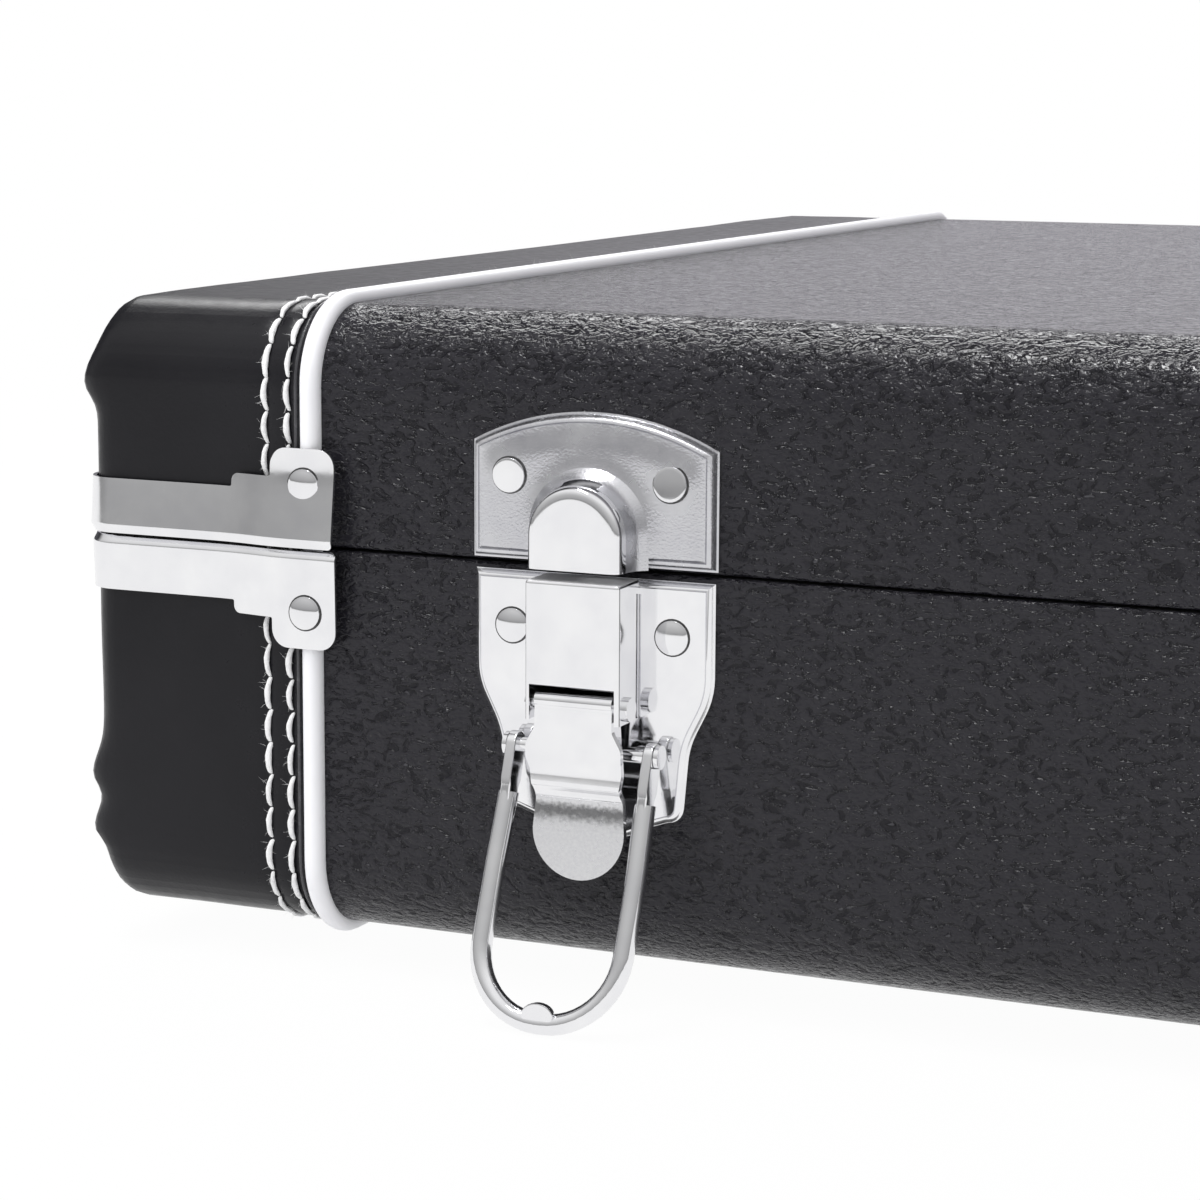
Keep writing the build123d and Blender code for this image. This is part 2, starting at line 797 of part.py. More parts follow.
def foot_screw(x, y):
    head_bottom = foot_screw_recess
    head_top = head_bottom + foot_screw_head_height
    head = upright(x, y, head_bottom, head_top, foot_screw_head_radius)
    return head + upright(x, y, head_top, shell_bottom + skin_thickness + flat_wall, foot_screw_shank_radius)


def foot(x, y, screw):
    recess = upright(x, y, -cut_margin, foot_screw_recess, foot_screw_head_radius)
    return upright(x, y, 0, foot_height, foot_radius) - recess - screw


# the whole case, as a list of solids for each named piece

def base_pieces(wood):
    half = below_seam(closed_form(0))
    left_cap, vinyl, right_cap = covering(half, half.faces().sort_by(Axis.Z)[-1])
    cords = {name: base_piping(side) for name, side in sides.items()}
    strips = {name: edge_strip(side, base_rim, -1, cords[name]) for name, side in sides.items()}
    bracket_places = (-handle_span / 2, handle_span / 2)
    rivets = [r for side in sides.values() for r in strip_rivets(side, base_rim, -1)]
    rivets += [r for x in latch_positions for r in latch_rivets(x, plate_rivet_height)]
    rivets += [r for x in hinge_positions for r in hinge_rivets(x, -1)]
    rivets += [r for x in bracket_places for r in bracket_rivets(x)]
    screws = [foot_screw(x, y) for x, y in foot_places]
    plates = [place_latch(x, latch_plate()) for x in latch_positions]
    riveted = {
        "base_box": [wood],
        "base_vinyl": [vinyl],
        "base_cap_left": [left_cap],
        "base_cap_right": [right_cap],
        "base_piping_left": [cords["left"]],
        "base_piping_right": [cords["right"]],
        "base_edge_strip_left": [strips["left"]],
        "base_edge_strip_right": [strips["right"]],
        "handle_brackets": [handle_bracket(x) for x in bracket_places],
        "hinge_base_leaves": [hinge_leaf(x, -1, 0) for x in hinge_positions],
    }
    for number, plate in enumerate(plates, 1):
        riveted[f"latch_plate_{number}"] = [plate]
    fasteners = rivets + screws
    pieces = {name: [solid - fasteners for solid in solids] for name, solids in riveted.items()}
    lip = rim_lip()
    pieces["rim_lip"] = [lip]
    pieces["base_lining"] = [base_lining(lip)]
    for name, pads in body_pads().items():
        pieces[name] = pads if isinstance(pads, list) else [pads]
    pieces["neck_cradle"] = [neck_cradle()]
    pieces["compartment_box"] = [compartment_box()]
    pieces["base_rivets"] = rivets
    pieces["lever_pins"] = [place_latch(x, lever_pin()) for x in latch_positions]
    pieces["hinge_pins"] = [hinge_pin(x) for x in hinge_positions]
    pieces["feet"] = [foot(x, y, screw) for (x, y), screw in zip(foot_places, screws)]
    pieces["foot_screws"] = screws
    return pieces


def lid_pieces(wood):
    half = above_seam(closed_form(0))
    left_cap, vinyl, right_cap = covering(half, half.faces().sort_by(Axis.Z)[0])
    cords = {name: lid_piping(side) for name, side in sides.items()}
    strips = {name: edge_strip(side, lid_rim, 1, cords[name]) for name, side in sides.items()}
    rivets = [r for side in sides.values() for r in strip_rivets(side, lid_rim, 1)]
    rivets += [r for x in latch_positions for r in latch_rivets(x, keeper_rivet_height)]
    rivets += [r for x in hinge_positions for r in hinge_rivets(x, 1)]
    riveted = {
        "lid_box": [wood],
        "lid_vinyl": [vinyl],
        "lid_cap_left": [left_cap],
        "lid_cap_right": [right_cap],
        "lid_piping_left": [cords["left"]],
        "lid_piping_right": [cords["right"]],
        "lid_edge_strip_left": [strips["left"]],
        "lid_edge_strip_right": [strips["right"]],
        "hinge_lid_leaves": [hinge_leaf(x, 1, 1) for x in hinge_positions],
    }
    for number, x in enumerate(latch_positions, 1):
        riveted[f"keeper_{number}"] = [place_latch(x, keeper())]
    pieces = {name: [solid - rivets for solid in solids] for name, solids in riveted.items()}
    pieces["lid_lining"] = [lid_lining()]
    pieces["lid_pad"] = [lid_pad()]
    pieces["lid_rivets"] = rivets
    return pieces


def moving_pieces():
    pieces = {
        "handle_bar": [handle_bar()],
        "handle_grip": [handle_grip()],
        "compartment_lid": [compartment_lid()],
        "compartment_tab": [pull_tab()],
    }
    for number, x in enumerate(latch_positions, 1):
        pieces[f"lever_{number}"] = [place_latch(x, lever())]
        pieces[f"loop_{number}"] = [place_latch(x, loop())]
        pieces[f"loop_pin_{number}"] = [place_latch(x, loop_pin())]
    return pieces


def single_solids(parts):
    return [Pos(0, origin_shift_y, 0) * solid for part in parts for solid in part.solids()]


os.makedirs("parts", exist_ok=True)
base_wood, lid_wood = wooden_boxes()
for name, parts in {**base_pieces(base_wood), **lid_pieces(lid_wood), **moving_pieces()}.items():
    solids = single_solids(parts)
    export_step(solids[0] if len(solids) == 1 else Compound(children=solids), f"parts/{name}.step")

print("hang angle of the loops", round(loop_hang_angle, 3))
print("origin is moved by", round(origin_shift_y, 3), "along Y")
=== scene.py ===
import math
import random

import bmesh
import bpy
from mathutils import Matrix, Vector, noise


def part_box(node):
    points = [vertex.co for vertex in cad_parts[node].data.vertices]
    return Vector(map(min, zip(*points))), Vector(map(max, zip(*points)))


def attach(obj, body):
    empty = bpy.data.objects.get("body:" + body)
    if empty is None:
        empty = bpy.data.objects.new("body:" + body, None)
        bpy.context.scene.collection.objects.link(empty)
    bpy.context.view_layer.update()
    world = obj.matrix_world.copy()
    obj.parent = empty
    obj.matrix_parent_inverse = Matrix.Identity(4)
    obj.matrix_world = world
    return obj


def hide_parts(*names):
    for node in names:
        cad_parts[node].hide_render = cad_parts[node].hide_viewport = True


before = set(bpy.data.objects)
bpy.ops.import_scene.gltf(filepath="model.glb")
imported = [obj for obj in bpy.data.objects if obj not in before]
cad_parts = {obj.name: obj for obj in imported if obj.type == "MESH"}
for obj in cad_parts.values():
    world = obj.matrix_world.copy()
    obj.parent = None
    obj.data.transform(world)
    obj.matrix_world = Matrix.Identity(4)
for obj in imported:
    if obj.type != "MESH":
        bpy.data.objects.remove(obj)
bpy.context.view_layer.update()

mm = 0.001
random.seed(7)


def lowOf(node):
    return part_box(node)[0]


def highOf(node):
    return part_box(node)[1]


# the shell's faces, read from the model's parts
caseLeft, caseRight = lowOf("base_cap_left").x, highOf("base_cap_right").x
caseFront, caseBack = lowOf("base_vinyl").y, highOf("base_vinyl").y
caseBottom, caseTop = lowOf("base_vinyl").z, highOf("lid_vinyl").z
caseSize = Vector((caseRight - caseLeft, caseBack - caseFront, caseTop - caseBottom))
caseMiddle = Vector((0, (caseBack + caseFront) / 2, (caseTop + caseBottom) / 2))
sides, halves = ("left", "right"), ("base", "lid")
endX, outwardX = {"left": caseLeft, "right": caseRight}, {"left": -1, "right": 1}
cordX = {side: (lowOf(f"base_piping_{side}").x + highOf(f"base_piping_{side}").x) / 2 for side in sides}
rimZ = {"base": highOf("base_vinyl").z, "lid": lowOf("lid_vinyl").z}
farZ, awayZ = {"base": caseBottom, "lid": caseTop}, {"base": -1, "lid": 1}
latchNumbers = (1, 2, 3, 4)
print("frame read: case", round(caseRight - caseLeft, 4), "long")


# material helpers; a node's sockets go by name or number, and another node's socket is linked to them
def fill(tree, node, sockets):
    for key, value in sockets.items():
        if isinstance(value, bpy.types.NodeSocket):
            tree.links.new(value, node.inputs[key])
        else:
            node.inputs[key].default_value = value
    return node


def addNode(tree, kind, **sockets):
    return fill(tree, tree.nodes.new("ShaderNode" + kind), sockets)


def startMaterial(name):
    mat = bpy.data.materials.new(name)
    mat.use_nodes = True
    return mat, mat.node_tree, mat.node_tree.nodes["Principled BSDF"]


def objectCoords(tree, scale=(1, 1, 1), turn=(0, 0, 0)):
    coords = addNode(tree, "TexCoord").outputs["Object"]
    return addNode(tree, "Mapping", Vector=coords, Scale=scale, Rotation=turn).outputs["Vector"]


def splitOf(tree, coords):
    return addNode(tree, "SeparateXYZ", Vector=coords).outputs


def noiseOf(tree, coords, scale, detail=3.0, rough=0.5, distort=0.0):
    return addNode(tree, "TexNoise", Vector=coords, Scale=scale, Detail=detail, Roughness=rough,
                   Distortion=distort).outputs["Fac"]


def cellsOf(tree, coords, scale, feature="F1"):
    node = tree.nodes.new("ShaderNodeTexVoronoi")
    node.feature = feature
    return fill(tree, node, {"Vector": coords, "Scale": scale}).outputs["Distance"]


# a stop's shade is a colour or a single value
def rampOf(tree, value, stops):
    node = addNode(tree, "ValToRGB", Fac=value)
    ramp = node.color_ramp
    while len(ramp.elements) < len(stops):
        ramp.elements.new(0.5)
    for element, (place, shade) in zip(ramp.elements, stops):
        element.position = place
        element.color = (*shade, 1) if isinstance(shade, tuple) else (shade, shade, shade, 1)
    return node.outputs["Color"]


# a ramp between two shades
def between(tree, value, low, high, shades):
    return rampOf(tree, value, [(low, shades[0]), (high, shades[1])])


def mathOf(tree, operation, a, b=0.0):
    node = tree.nodes.new("ShaderNodeMath")
    node.operation = operation
    return fill(tree, node, {0: a, 1: b}).outputs["Value"]


def layered(tree, first, *others):
    total = mathOf(tree, "MULTIPLY", *first)
    for layer in others:
        total = mathOf(tree, "ADD", total, mathOf(tree, "MULTIPLY", *layer))
    return total


def mixOf(tree, share, first, second, blend="MIX"):
    node = addNode(tree, "MixRGB", Fac=share, Color1=first, Color2=second)
    node.blend_type = blend
    return node.outputs["Color"]


def bumpOf(tree, height, strength, distance):
    return addNode(tree, "Bump", Height=height, Strength=strength, Distance=distance).outputs["Normal"]


def texturedVinyl():
    look = {"shades": ((0.0108, 0.0103, 0.0134), (0.0168, 0.0160, 0.0206)), "rough": (0.12, 0.20),
            "paintedGlint": (0.055, 0.054, 0.062, 1), "shine": (0.205, 0.305), "relief": (1.0, 0.00044)}
    mat, tree, shader = startMaterial("texturedVinyl")
    stretched = objectCoords(tree, (0.72, 1.0, 1.15))
    worms = noiseOf(tree, stretched, 540, 2, 0.5, 1.2)
    ripple = noiseOf(tree, stretched, 1300, 1, 0.5, 0.4)
    folds = noiseOf(tree, objectCoords(tree), 75, 4, 0.6, 0.8)
    grains = noiseOf(tree, objectCoords(tree, (0.7, 1.0, 1.5), (0, 0.35, 0)), 950, 1)
    hills = rampOf(tree, worms, [(0.36, 0.0), (0.45, 0.76), (0.60, 1.0)])
    small = between(tree, ripple, 0.42, 0.54, (0.0, 1.0))
    pips = between(tree, grains, 0.62, 0.70, (0.0, 1.0))
    height = layered(tree, (hills, 0.75), (small, 0.18), (pips, 0.9))
    # the colour is darker in the grain's valleys and lighter on its hills: painted shade in the valleys; the
    # broad folds add tone at random
    shade = between(tree, layered(tree, (folds, 0.3), (hills, 0.7)), 0.25, 0.75, look["shades"])
    # painted glints: pale specks painted on sparse grains
    paintedGlints = between(tree, grains, 0.735, 0.775, (0.0, 1.0))
    fill(tree, shader, {"Base Color": mixOf(tree, paintedGlints, shade, look["paintedGlint"]),
                        "Roughness": between(tree, ripple, 0.3, 0.7, look["rough"]),
                        "Specular IOR Level": between(tree, hills, 0.0, 0.9, look["shine"]),
                        "Normal": bumpOf(tree, height, *look["relief"])})
    return mat


def smoothLeather():
    look = {"shades": ((0.0080, 0.0078, 0.0098), (0.0135, 0.0132, 0.0158)), "rough": (0.29, 0.39),
            "drawn": (0.50, 1.0), "shine": 0.22, "relief": (0.14, 0.0004)}
    mat, tree, shader = startMaterial("smoothLeather")
    coords = objectCoords(tree)
    broad, fine = noiseOf(tree, coords, 26), noiseOf(tree, coords, 420, 4, 0.6)
    pores = cellsOf(tree, coords, 1500)
    height = layered(tree, (pores, 0.25), (fine, 0.35), (broad, 1.5))
    reach = mathOf(tree, "ABSOLUTE", splitOf(tree, coords)["X"])
    drawn = between(tree, reach, 0.425, 0.495, look["drawn"])  # drawn tight, so glossier, by the piping
    rough = between(tree, fine, 0.3, 0.7, look["rough"])
    fill(tree, shader, {"Base Color": between(tree, broad, 0.3, 0.75, look["shades"]),
                        "Roughness": mathOf(tree, "MULTIPLY", rough, drawn),
                        "Specular IOR Level": look["shine"],
                        "Normal": bumpOf(tree, height, *look["relief"])})
    return mat


# satin metal, with painted shade: a darker ragged band painted across the lever's bend
def satinNickel():
    look = {"shades": ((0.64, 0.64, 0.66), (0.76, 0.76, 0.77)), "rough": (0.26, 0.38),
            "relief": (0.25, 0.0001), "bendLow": 25.4, "bendHigh": 28.7, "ragged": 2.2, "paintedShade": 0.38}
    mat, tree, shader = startMaterial("satinNickel")
    coords = objectCoords(tree)
    specks = noiseOf(tree, coords, 1800)
    plain = between(tree, specks, 0.3, 0.7, look["shades"])
    ragged = mathOf(tree, "MULTIPLY", noiseOf(tree, coords, 1500), look["ragged"] * mm)
    height = mathOf(tree, "ADD", splitOf(tree, coords)["Z"], ragged)
    lowEdge = caseBottom + (look["bendLow"] + look["ragged"] / 2) * mm
    fromLow = mathOf(tree, "SUBTRACT", height, lowEdge)
    place = mathOf(tree, "DIVIDE", fromLow, (look["bendHigh"] - look["bendLow"]) * mm)
    # the band darkens the colour across the bend: painted shade
    band = rampOf(tree, place, [(0.0, 1.0), (0.45, look["paintedShade"]), (0.7, look["paintedShade"]), (1.0, 1.0)])
    fill(tree, shader, {"Metallic": 1.0, "Base Color": mixOf(tree, 1.0, plain, band, "MULTIPLY"),
                        "Roughness": between(tree, specks, 0.3, 0.7, look["rough"]),
                        "Normal": bumpOf(tree, specks, *look["relief"])})
    return mat


def plushCloth():
    look = {"shades": ((0.020, 0.020, 0.023), (0.047, 0.047, 0.052)), "relief": (0.8, 0.0006)}
    mat, tree, shader = startMaterial("plushCloth")
    coords = objectCoords(tree)
    pile, brushed = noiseOf(tree, coords, 900, 5, 0.75), noiseOf(tree, coords, 48, 4, 0.5, 0.8)
    tone = layered(tree, (brushed, 0.45), (pile, 0.55))
    fill(tree, shader, {"Base Color": between(tree, tone, 0.36, 0.64, look["shades"]),
                        "Roughness": 0.95, "Sheen Weight": 0.6, "Sheen Roughness": 0.4,
                        "Normal": bumpOf(tree, mathOf(tree, "ADD", pile, brushed), *look["relief"])})
    return mat


def blackGrip():
    look = {"shades": ((0.016, 0.016, 0.018), (0.028, 0.028, 0.031)), "rough": (0.38, 0.52),
            "relief": (0.6, 0.0004)}
    mat, tree, shader = startMaterial("blackGrip")
    coords = objectCoords(tree)
    grain = cellsOf(tree, coords, 700, "DISTANCE_TO_EDGE")
    cloud = noiseOf(tree, coords, 60)
    fill(tree, shader, {"Base Color": between(tree, cloud, 0.3, 0.7, look["shades"]),
                        "Roughness": between(tree, cloud, 0.3, 0.7, look["rough"]),
                        "Normal": bumpOf(tree, mathOf(tree, "MINIMUM", grain, 0.2), *look["relief"])})
    return mat


# finishes of one cloud: the noise's scale, detail and roughness; the shades and the gloss that it gives, with
# the part of its range that they span; the strength and height of its relief, whose noise may be a finer one
cloudLooks = {
    "burnishedLeather": {"cloud": (500, 3), "shades": ((0.030, 0.030, 0.034), (0.060, 0.060, 0.066)),
                         "rough": (0.18, 0.30), "shine": 0.6, "relief": (0.2, 0.0002)},
    "whitePiping": {"cloud": (60, 3), "shades": ((0.94, 0.94, 0.97), (0.97, 0.97, 0.99)),
                    "rough": 0.38, "grain": (300, 3), "relief": (0.10, 0.0003)},
    "brightNickel": {"cloud": (140, 4), "shades": ((0.80, 0.80, 0.82), (0.88, 0.88, 0.89)), "metal": 1.0,
                     "rough": (0.06, 0.14), "roughSpan": (0.3, 0.75), "grain": (90, 2),
                     "relief": (0.10, 0.0004)},
    # grainy from the press
    "drawnNickel": {"cloud": (120, 3), "shades": ((0.58, 0.58, 0.61), (0.71, 0.71, 0.73)), "metal": 1.0,
                    "rough": (0.22, 0.34), "roughSpan": (0.3, 0.75), "grain": (2600, 2),
                    "relief": (0.5, 0.00008)},
    # the housing's top, dull where the hook rubs on it
    "frostedNickel": {"cloud": (700, 3), "shades": ((0.78, 0.78, 0.80), (0.88, 0.88, 0.89)), "metal": 0.6,
                      "rough": 0.6, "relief": (0.2, 0.0001)},
    # painted shadow: the dark ring round each rivet head, standing in for the shadow at its edge
    "paintedRivetShadow": {"cloud": (900, 2), "shades": (0.06, 0.14), "rough": 0.5, "metal": 1.0},
    "whiteThread": {"cloud": (1600, 4, 0.7), "shades": ((0.74, 0.74, 0.75), (0.92, 0.92, 0.92)),
                    "span": (0.25, 0.5), "rough": 0.9, "relief": (0.6, 0.0002)},
    "plywoodEdge": {"cloud": (1.0, 2), "stretch": (8, 8, 900), "span": (0.35, 0.65), "rough": 0.7,
                    "shades": ((0.018, 0.017, 0.016), (0.040, 0.037, 0.033)), "relief": (0.3, 0.0003)},
    "footRubber": {"cloud": (200, 4), "shades": ((0.014, 0.014, 0.014), (0.035, 0.034, 0.033)),
                   "span": (0.3, 0.75), "rough": 0.75, "relief": (0.3, 0.0002)}}


def cloudFinish(name):
    look = {"stretch": (1, 1, 1), "span": (0.3, 0.7), "roughSpan": (0.3, 0.7), "metal": 0.0}
    look.update(cloudLooks[name])
    mat, tree, shader = startMaterial(name)
    coords = objectCoords(tree, look["stretch"])
    cloud = noiseOf(tree, coords, *look["cloud"])
    rough = look["rough"]
    if isinstance(rough, tuple):
        rough = between(tree, cloud, *look["roughSpan"], rough)
    colour = between(tree, cloud, *look["span"], look["shades"])
    fill(tree, shader, {"Base Color": colour, "Metallic": look["metal"], "Roughness": rough})
    if "shine" in look:
        fill(tree, shader, {"Specular IOR Level": look["shine"]})
    if "relief" in look:
        grain = noiseOf(tree, coords, *look["grain"]) if "grain" in look else cloud
        fill(tree, shader, {"Normal": bumpOf(tree, grain, *look["relief"])})
    return mat


vinyl, leather, satin = texturedVinyl(), smoothLeather(), satinNickel()
plush, grip = plushCloth(), blackGrip()
nickel, drawn, frosted = (cloudFinish(name) for name in ("brightNickel", "drawnNickel", "frostedNickel"))
piping, thread = cloudFinish("whitePiping"), cloudFinish("whiteThread")
plywood, rubber, seam = (cloudFinish(name) for name in ("plywoodEdge", "footRubber", "paintedRivetShadow"))
burnished = cloudFinish("burnishedLeather")
print("materials made")


# carried-over pieces take their finish by what their names say
def finishOf(node):
    if "vinyl" in node:
        return vinyl
    if "_cap_" in node:
        return leather
    if "piping" in node:
        return piping
    if node in ("base_box", "lid_box", "rim_lip", "compartment_box"):
        return plywood
    if node == "feet":
        return rubber
    if node == "handle_grip":
        return grip
    if "lining" in node or "pad" in node or node in ("neck_cradle", "compartment_lid", "compartment_tab"):
        return plush
    return nickel


for nodeName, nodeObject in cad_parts.items():
    nodeObject.data.materials.clear()
    nodeObject.data.materials.append(finishOf(nodeName))


# mesh helpers
def only(geometry, kind):
    return [item for item in geometry if isinstance(item, kind)]


def plainObject(bm, name):
    mesh = bpy.data.meshes.new(name)
    bm.to_mesh(mesh)
    bm.free()
    holder = bpy.data.objects.new(name, mesh)
    bpy.context.scene.collection.objects.link(holder)
    return holder


def finishPiece(bm, name, material, body, node=None, sharp=35, weld=True):
    if weld:
        bmesh.ops.remove_doubles(bm, verts=bm.verts, dist=0.000002)
        bmesh.ops.recalc_face_normals(bm, faces=bm.faces)
    piece = plainObject(bm, name)
    for polygon in piece.data.polygons:
        polygon.use_smooth = True
    piece.data.set_sharp_from_angle(angle=math.radians(sharp))
    piece.data.materials.append(material)
    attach(piece, body)
    if node:
        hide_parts(node)
    return piece


# a second finish on the faces that the test picks
def secondFinish(piece, material, picks):
    piece.data.materials.append(material)
    for polygon in piece.data.polygons:
        if picks(polygon):
            polygon.material_index = 1


def evenNormals(piece):
    piece.modifiers.new("evenNormals", "WEIGHTED_NORMAL").keep_sharp = True


def giveWall(piece, name, thick, offset):
    wall = piece.modifiers.new(name, "SOLIDIFY")
    wall.thickness, wall.offset = thick * mm, offset


def takeMesh(bm, mesh):
    bm.from_mesh(mesh)
    bpy.data.meshes.remove(mesh)
    return bm


def mergeInto(bm, other):
    mesh = bpy.data.meshes.new("part")
    other.to_mesh(mesh)
    other.free()
    takeMesh(bm, mesh)


def mergedCopy(node):
    bm = bmesh.new()
    bm.from_mesh(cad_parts[node].data)
    bmesh.ops.remove_doubles(bm, verts=bm.verts, dist=0.000002)
    bmesh.ops.dissolve_limit(bm, angle_limit=math.radians(1), verts=bm.verts, edges=bm.edges)
    return bm


def roundedOutline(corners, steps):
    points = []
    for index, (x, z, radius) in enumerate(corners):
        corner = Vector((x, z))
        before = Vector(corners[index - 1][:2])
        after = Vector(corners[(index + 1) % len(corners)][:2])
        if radius <= 0:
            points.append(corner)
            continue
        toBefore, toAfter = (before - corner).normalized(), (after - corner).normalized()
        half = toBefore.angle(toAfter) / 2
        reach = radius / math.tan(half)
        start, end = corner + toBefore * reach, corner + toAfter * reach
        centre = corner + (toBefore + toAfter).normalized() * (radius / math.sin(half))
        first, last = start - centre, end - centre
        turn = first.angle_signed(last)
        for step in range(steps + 1):
            spoke = first.copy()
            spoke.rotate(Matrix.Rotation(-turn * step / steps, 2))
            points.append(centre + spoke)
    return points


def arcPoints(centreX, centreZ, radius, fromDegrees, toDegrees, steps):
    made = []
    for step in range(steps + 1):
        angle = math.radians(fromDegrees + (toDegrees - fromDegrees) * step / steps)
        made.append(Vector((centreX + radius * math.cos(angle), centreZ + radius * math.sin(angle))))
    return made


def flatFace(bm, points):
    return bm.faces.new([bm.verts.new((p[0], 0, p[1])) for p in points])


def pushFace(bm, face, move):
    made = bmesh.ops.extrude_face_region(bm, geom=[face])["geom"]
    bmesh.ops.translate(bm, verts=only(made, bmesh.types.BMVert), vec=move)
    return only(made, bmesh.types.BMFace)[0]


def boxMesh(size, middle):
    bm = bmesh.new()
    bmesh.ops.create_cube(bm, size=1)
    bmesh.ops.scale(bm, vec=size, verts=bm.verts)
    bmesh.ops.translate(bm, vec=middle, verts=bm.verts)
    return bm


# a row of points as verts and edges, ready for a spin
def profileLine(bm, points):
    verts = [bm.verts.new(point) for point in points]
    return verts, [bm.edges.new(pair) for pair in zip(verts, verts[1:])]


def spunHead(profile, steps):
    bm = bmesh.new()
    verts, edges = profileLine(bm, [(radius, 0, z) for radius, z in profile])
    bmesh.ops.spin(bm, geom=verts + edges, cent=(0, 0, 0), axis=(0, 0, 1), angle=math.radians(360),
                   steps=steps, use_merge=True)
    return bm


# a round wire along a row of places
def wireMesh(places, radius, resolution):
    curve = bpy.data.curves.new("wire", "CURVE")
    curve.dimensions = "3D"
    curve.bevel_depth, curve.bevel_resolution = radius, resolution
    curve.use_fill_caps = True
    spline = curve.splines.new("POLY")
    spline.points.add(len(places) - 1)
    for point, place in zip(spline.points, places):
        point.co = (*place, 1)
    holder = bpy.data.objects.new("wire", curve)
    bpy.context.scene.collection.objects.link(holder)
    mesh = bpy.data.meshes.new_from_object(holder)
    bpy.data.objects.remove(holder)
    return takeMesh(bmesh.new(), mesh)


def softenEdges(bm, edges, offset, segments):
    bmesh.ops.bevel(bm, geom=list(edges), offset=offset, offset_type="OFFSET", segments=segments,
                    profile=0.5, affect="EDGES", clamp_overlap=True, material=-1)


def sharpEdges(bm, least):
    return [e for e in bm.edges if len(e.link_faces) == 2 and e.calc_face_angle(0) > least]


# a cut across one axis, through some faces or the whole mesh; clear is the direction of what it takes away
def cutAt(bm, axis, place, pieces=None, clear=0):
    point, normal = Vector(), Vector()
    point[axis], normal[axis] = place, clear or 1
    geometry = list(bm.verts) + list(bm.edges) + list(bm.faces)
    if pieces:
        geometry = pieces + list({e for f in pieces for e in f.edges})
        geometry += list({v for f in pieces for v in f.verts})
    made = bmesh.ops.bisect_plane(bm, geom=geometry, plane_co=point, plane_no=normal, clear_outer=bool(clear))
    return only(made["geom"], bmesh.types.BMFace) if pieces else None


def sliceAlong(bm, axis, low, high, step, pieces=None):
    for index in range(1, int((high - low) / step)):
        pieces = cutAt(bm, axis, low + index * step, pieces)
    return pieces


# unevenness in layers, each with the scale and height of its noise
def ripples(place, layers):
    return sum(noise.noise(place * scale) * height for scale, height in layers)


# a pressed sheet: its edge profile is stamped step by step, each step an inset and a rise in millimetres
def pressedPlate(points, values):
    bm = bmesh.new()
    face = pushFace(bm, flatFace(bm, points), (0, -values["flange"], 0))
    for inset, rise in values["press"]:
        bmesh.ops.inset_region(bm, faces=[face], thickness=inset, depth=0, use_even_offset=True)
        bmesh.ops.translate(bm, verts=face.verts, vec=(0, -rise, 0))
    return bm, face


# a flat side piece of the latch: its outline in depth and height, made thick towards the latch's middle
def sideSlab(outline, x, thick, soft, segments):
    bm = bmesh.new()
    face = bm.faces.new([bm.verts.new((x, p.x, p.y)) for p in outline])
    pushFace(bm, face, (thick, 0, 0))
    bmesh.ops.recalc_face_normals(bm, faces=bm.faces)
    softenEdges(bm, sharpEdges(bm, 1.2), soft, segments)
    return bm


# latch pieces are drawn in millimetres from the latch's middle, the case's front and its bottom
def latchPlace(number):
    middle = (lowOf(f"keeper_{number}").x + highOf(f"keeper_{number}").x) / 2
    return Matrix.Translation((middle, caseFront, caseBottom)) @ Matrix.Scale(mm, 4)


def latchPiece(bm, name, number, material, body, node):
    bmesh.ops.transform(bm, matrix=latchPlace(number), verts=bm.verts)
    piece = finishPiece(bm, f"{name}{number}", material, body, f"{node}_{number}")
    evenNormals(piece)
    return piece


# keeper: pressed plate with an arched top, and the hook swelling out of it
keeperValues = {
    "half": 20.8, "bottom": 65.7, "shoulder": 84.3, "top": 89.5, "archSteps": 22, "flange": 0.45,
    "press": [(0.30, 0.10), (0.22, 0.55), (0.22, 0.50), (0.25, 0.30), (0.40, 0.12), (0.12, -0.20),
              (0.12, 0.20), (0.30, 0.02)],
    "rim": 1.9, "dishRise": 0.58, "dishReach": 2.6, "sideReach": 2.0,
    "flareStart": 8.6, "flareRise": 1.35, "flareReach": 5.6, "flareCurve": 2.6, "soften": 5.0,
    "fullDepth": 2.0, "swellGain": 1.3, "slice": 0.8, "hookCentre": 70.9, "hookSteps": 40,
    "slotDepth": (5.0, 7.8), "slotHalf": 3.4, "slotAbove": 6}
# the hook's outline from its foot to its flat front, each place a radius and a depth
hookProfile = [(10.2, 3.0), (9.2, 3.85), (8.6, 4.8), (8.25, 5.9), (8.1, 7.0), (8.0, 7.6), (7.85, 8.2),
               (7.55, 8.7), (7.15, 8.98), (6.7, 9.10), (6.2, 9.17), (5.7, 9.2)]


def keeperArch():
    v = keeperValues
    height = v["top"] - v["shoulder"]
    radius = (v["half"] ** 2 + height ** 2) / (2 * height)
    return radius, v["top"] - radius


def keeperOutline():
    v = keeperValues
    radius, centreZ = keeperArch()
    lift = math.degrees(math.asin(v["half"] / radius))
    arch = arcPoints(0, centreZ, radius, 90 - lift, 90 + lift, v["archSteps"])
    return [Vector((-v["half"], v["bottom"])), Vector((v["half"], v["bottom"]))] + arch


# the face swells towards the hook and is dished under the arch
def keeperSwell(x, z):
    v = keeperValues
    radius, centreZ = keeperArch()
    under = max(0.0, radius - v["rim"] - math.hypot(x, z - centreZ))
    aside = max(0.0, v["half"] - v["rim"] - abs(x))
    rise = v["dishRise"] * (1 - math.exp(-(under / v["dishReach"]) ** 2)) * min(1.0, aside / v["sideReach"])
    above = (z - v["hookCentre"] + math.hypot(z - v["hookCentre"], v["soften"])) / 2
    far = math.hypot(x, above) - v["flareStart"]
    share = max(0.0, 1 - max(0.0, far) / v["flareReach"])
    return rise + v["flareRise"] * share ** v["flareCurve"]


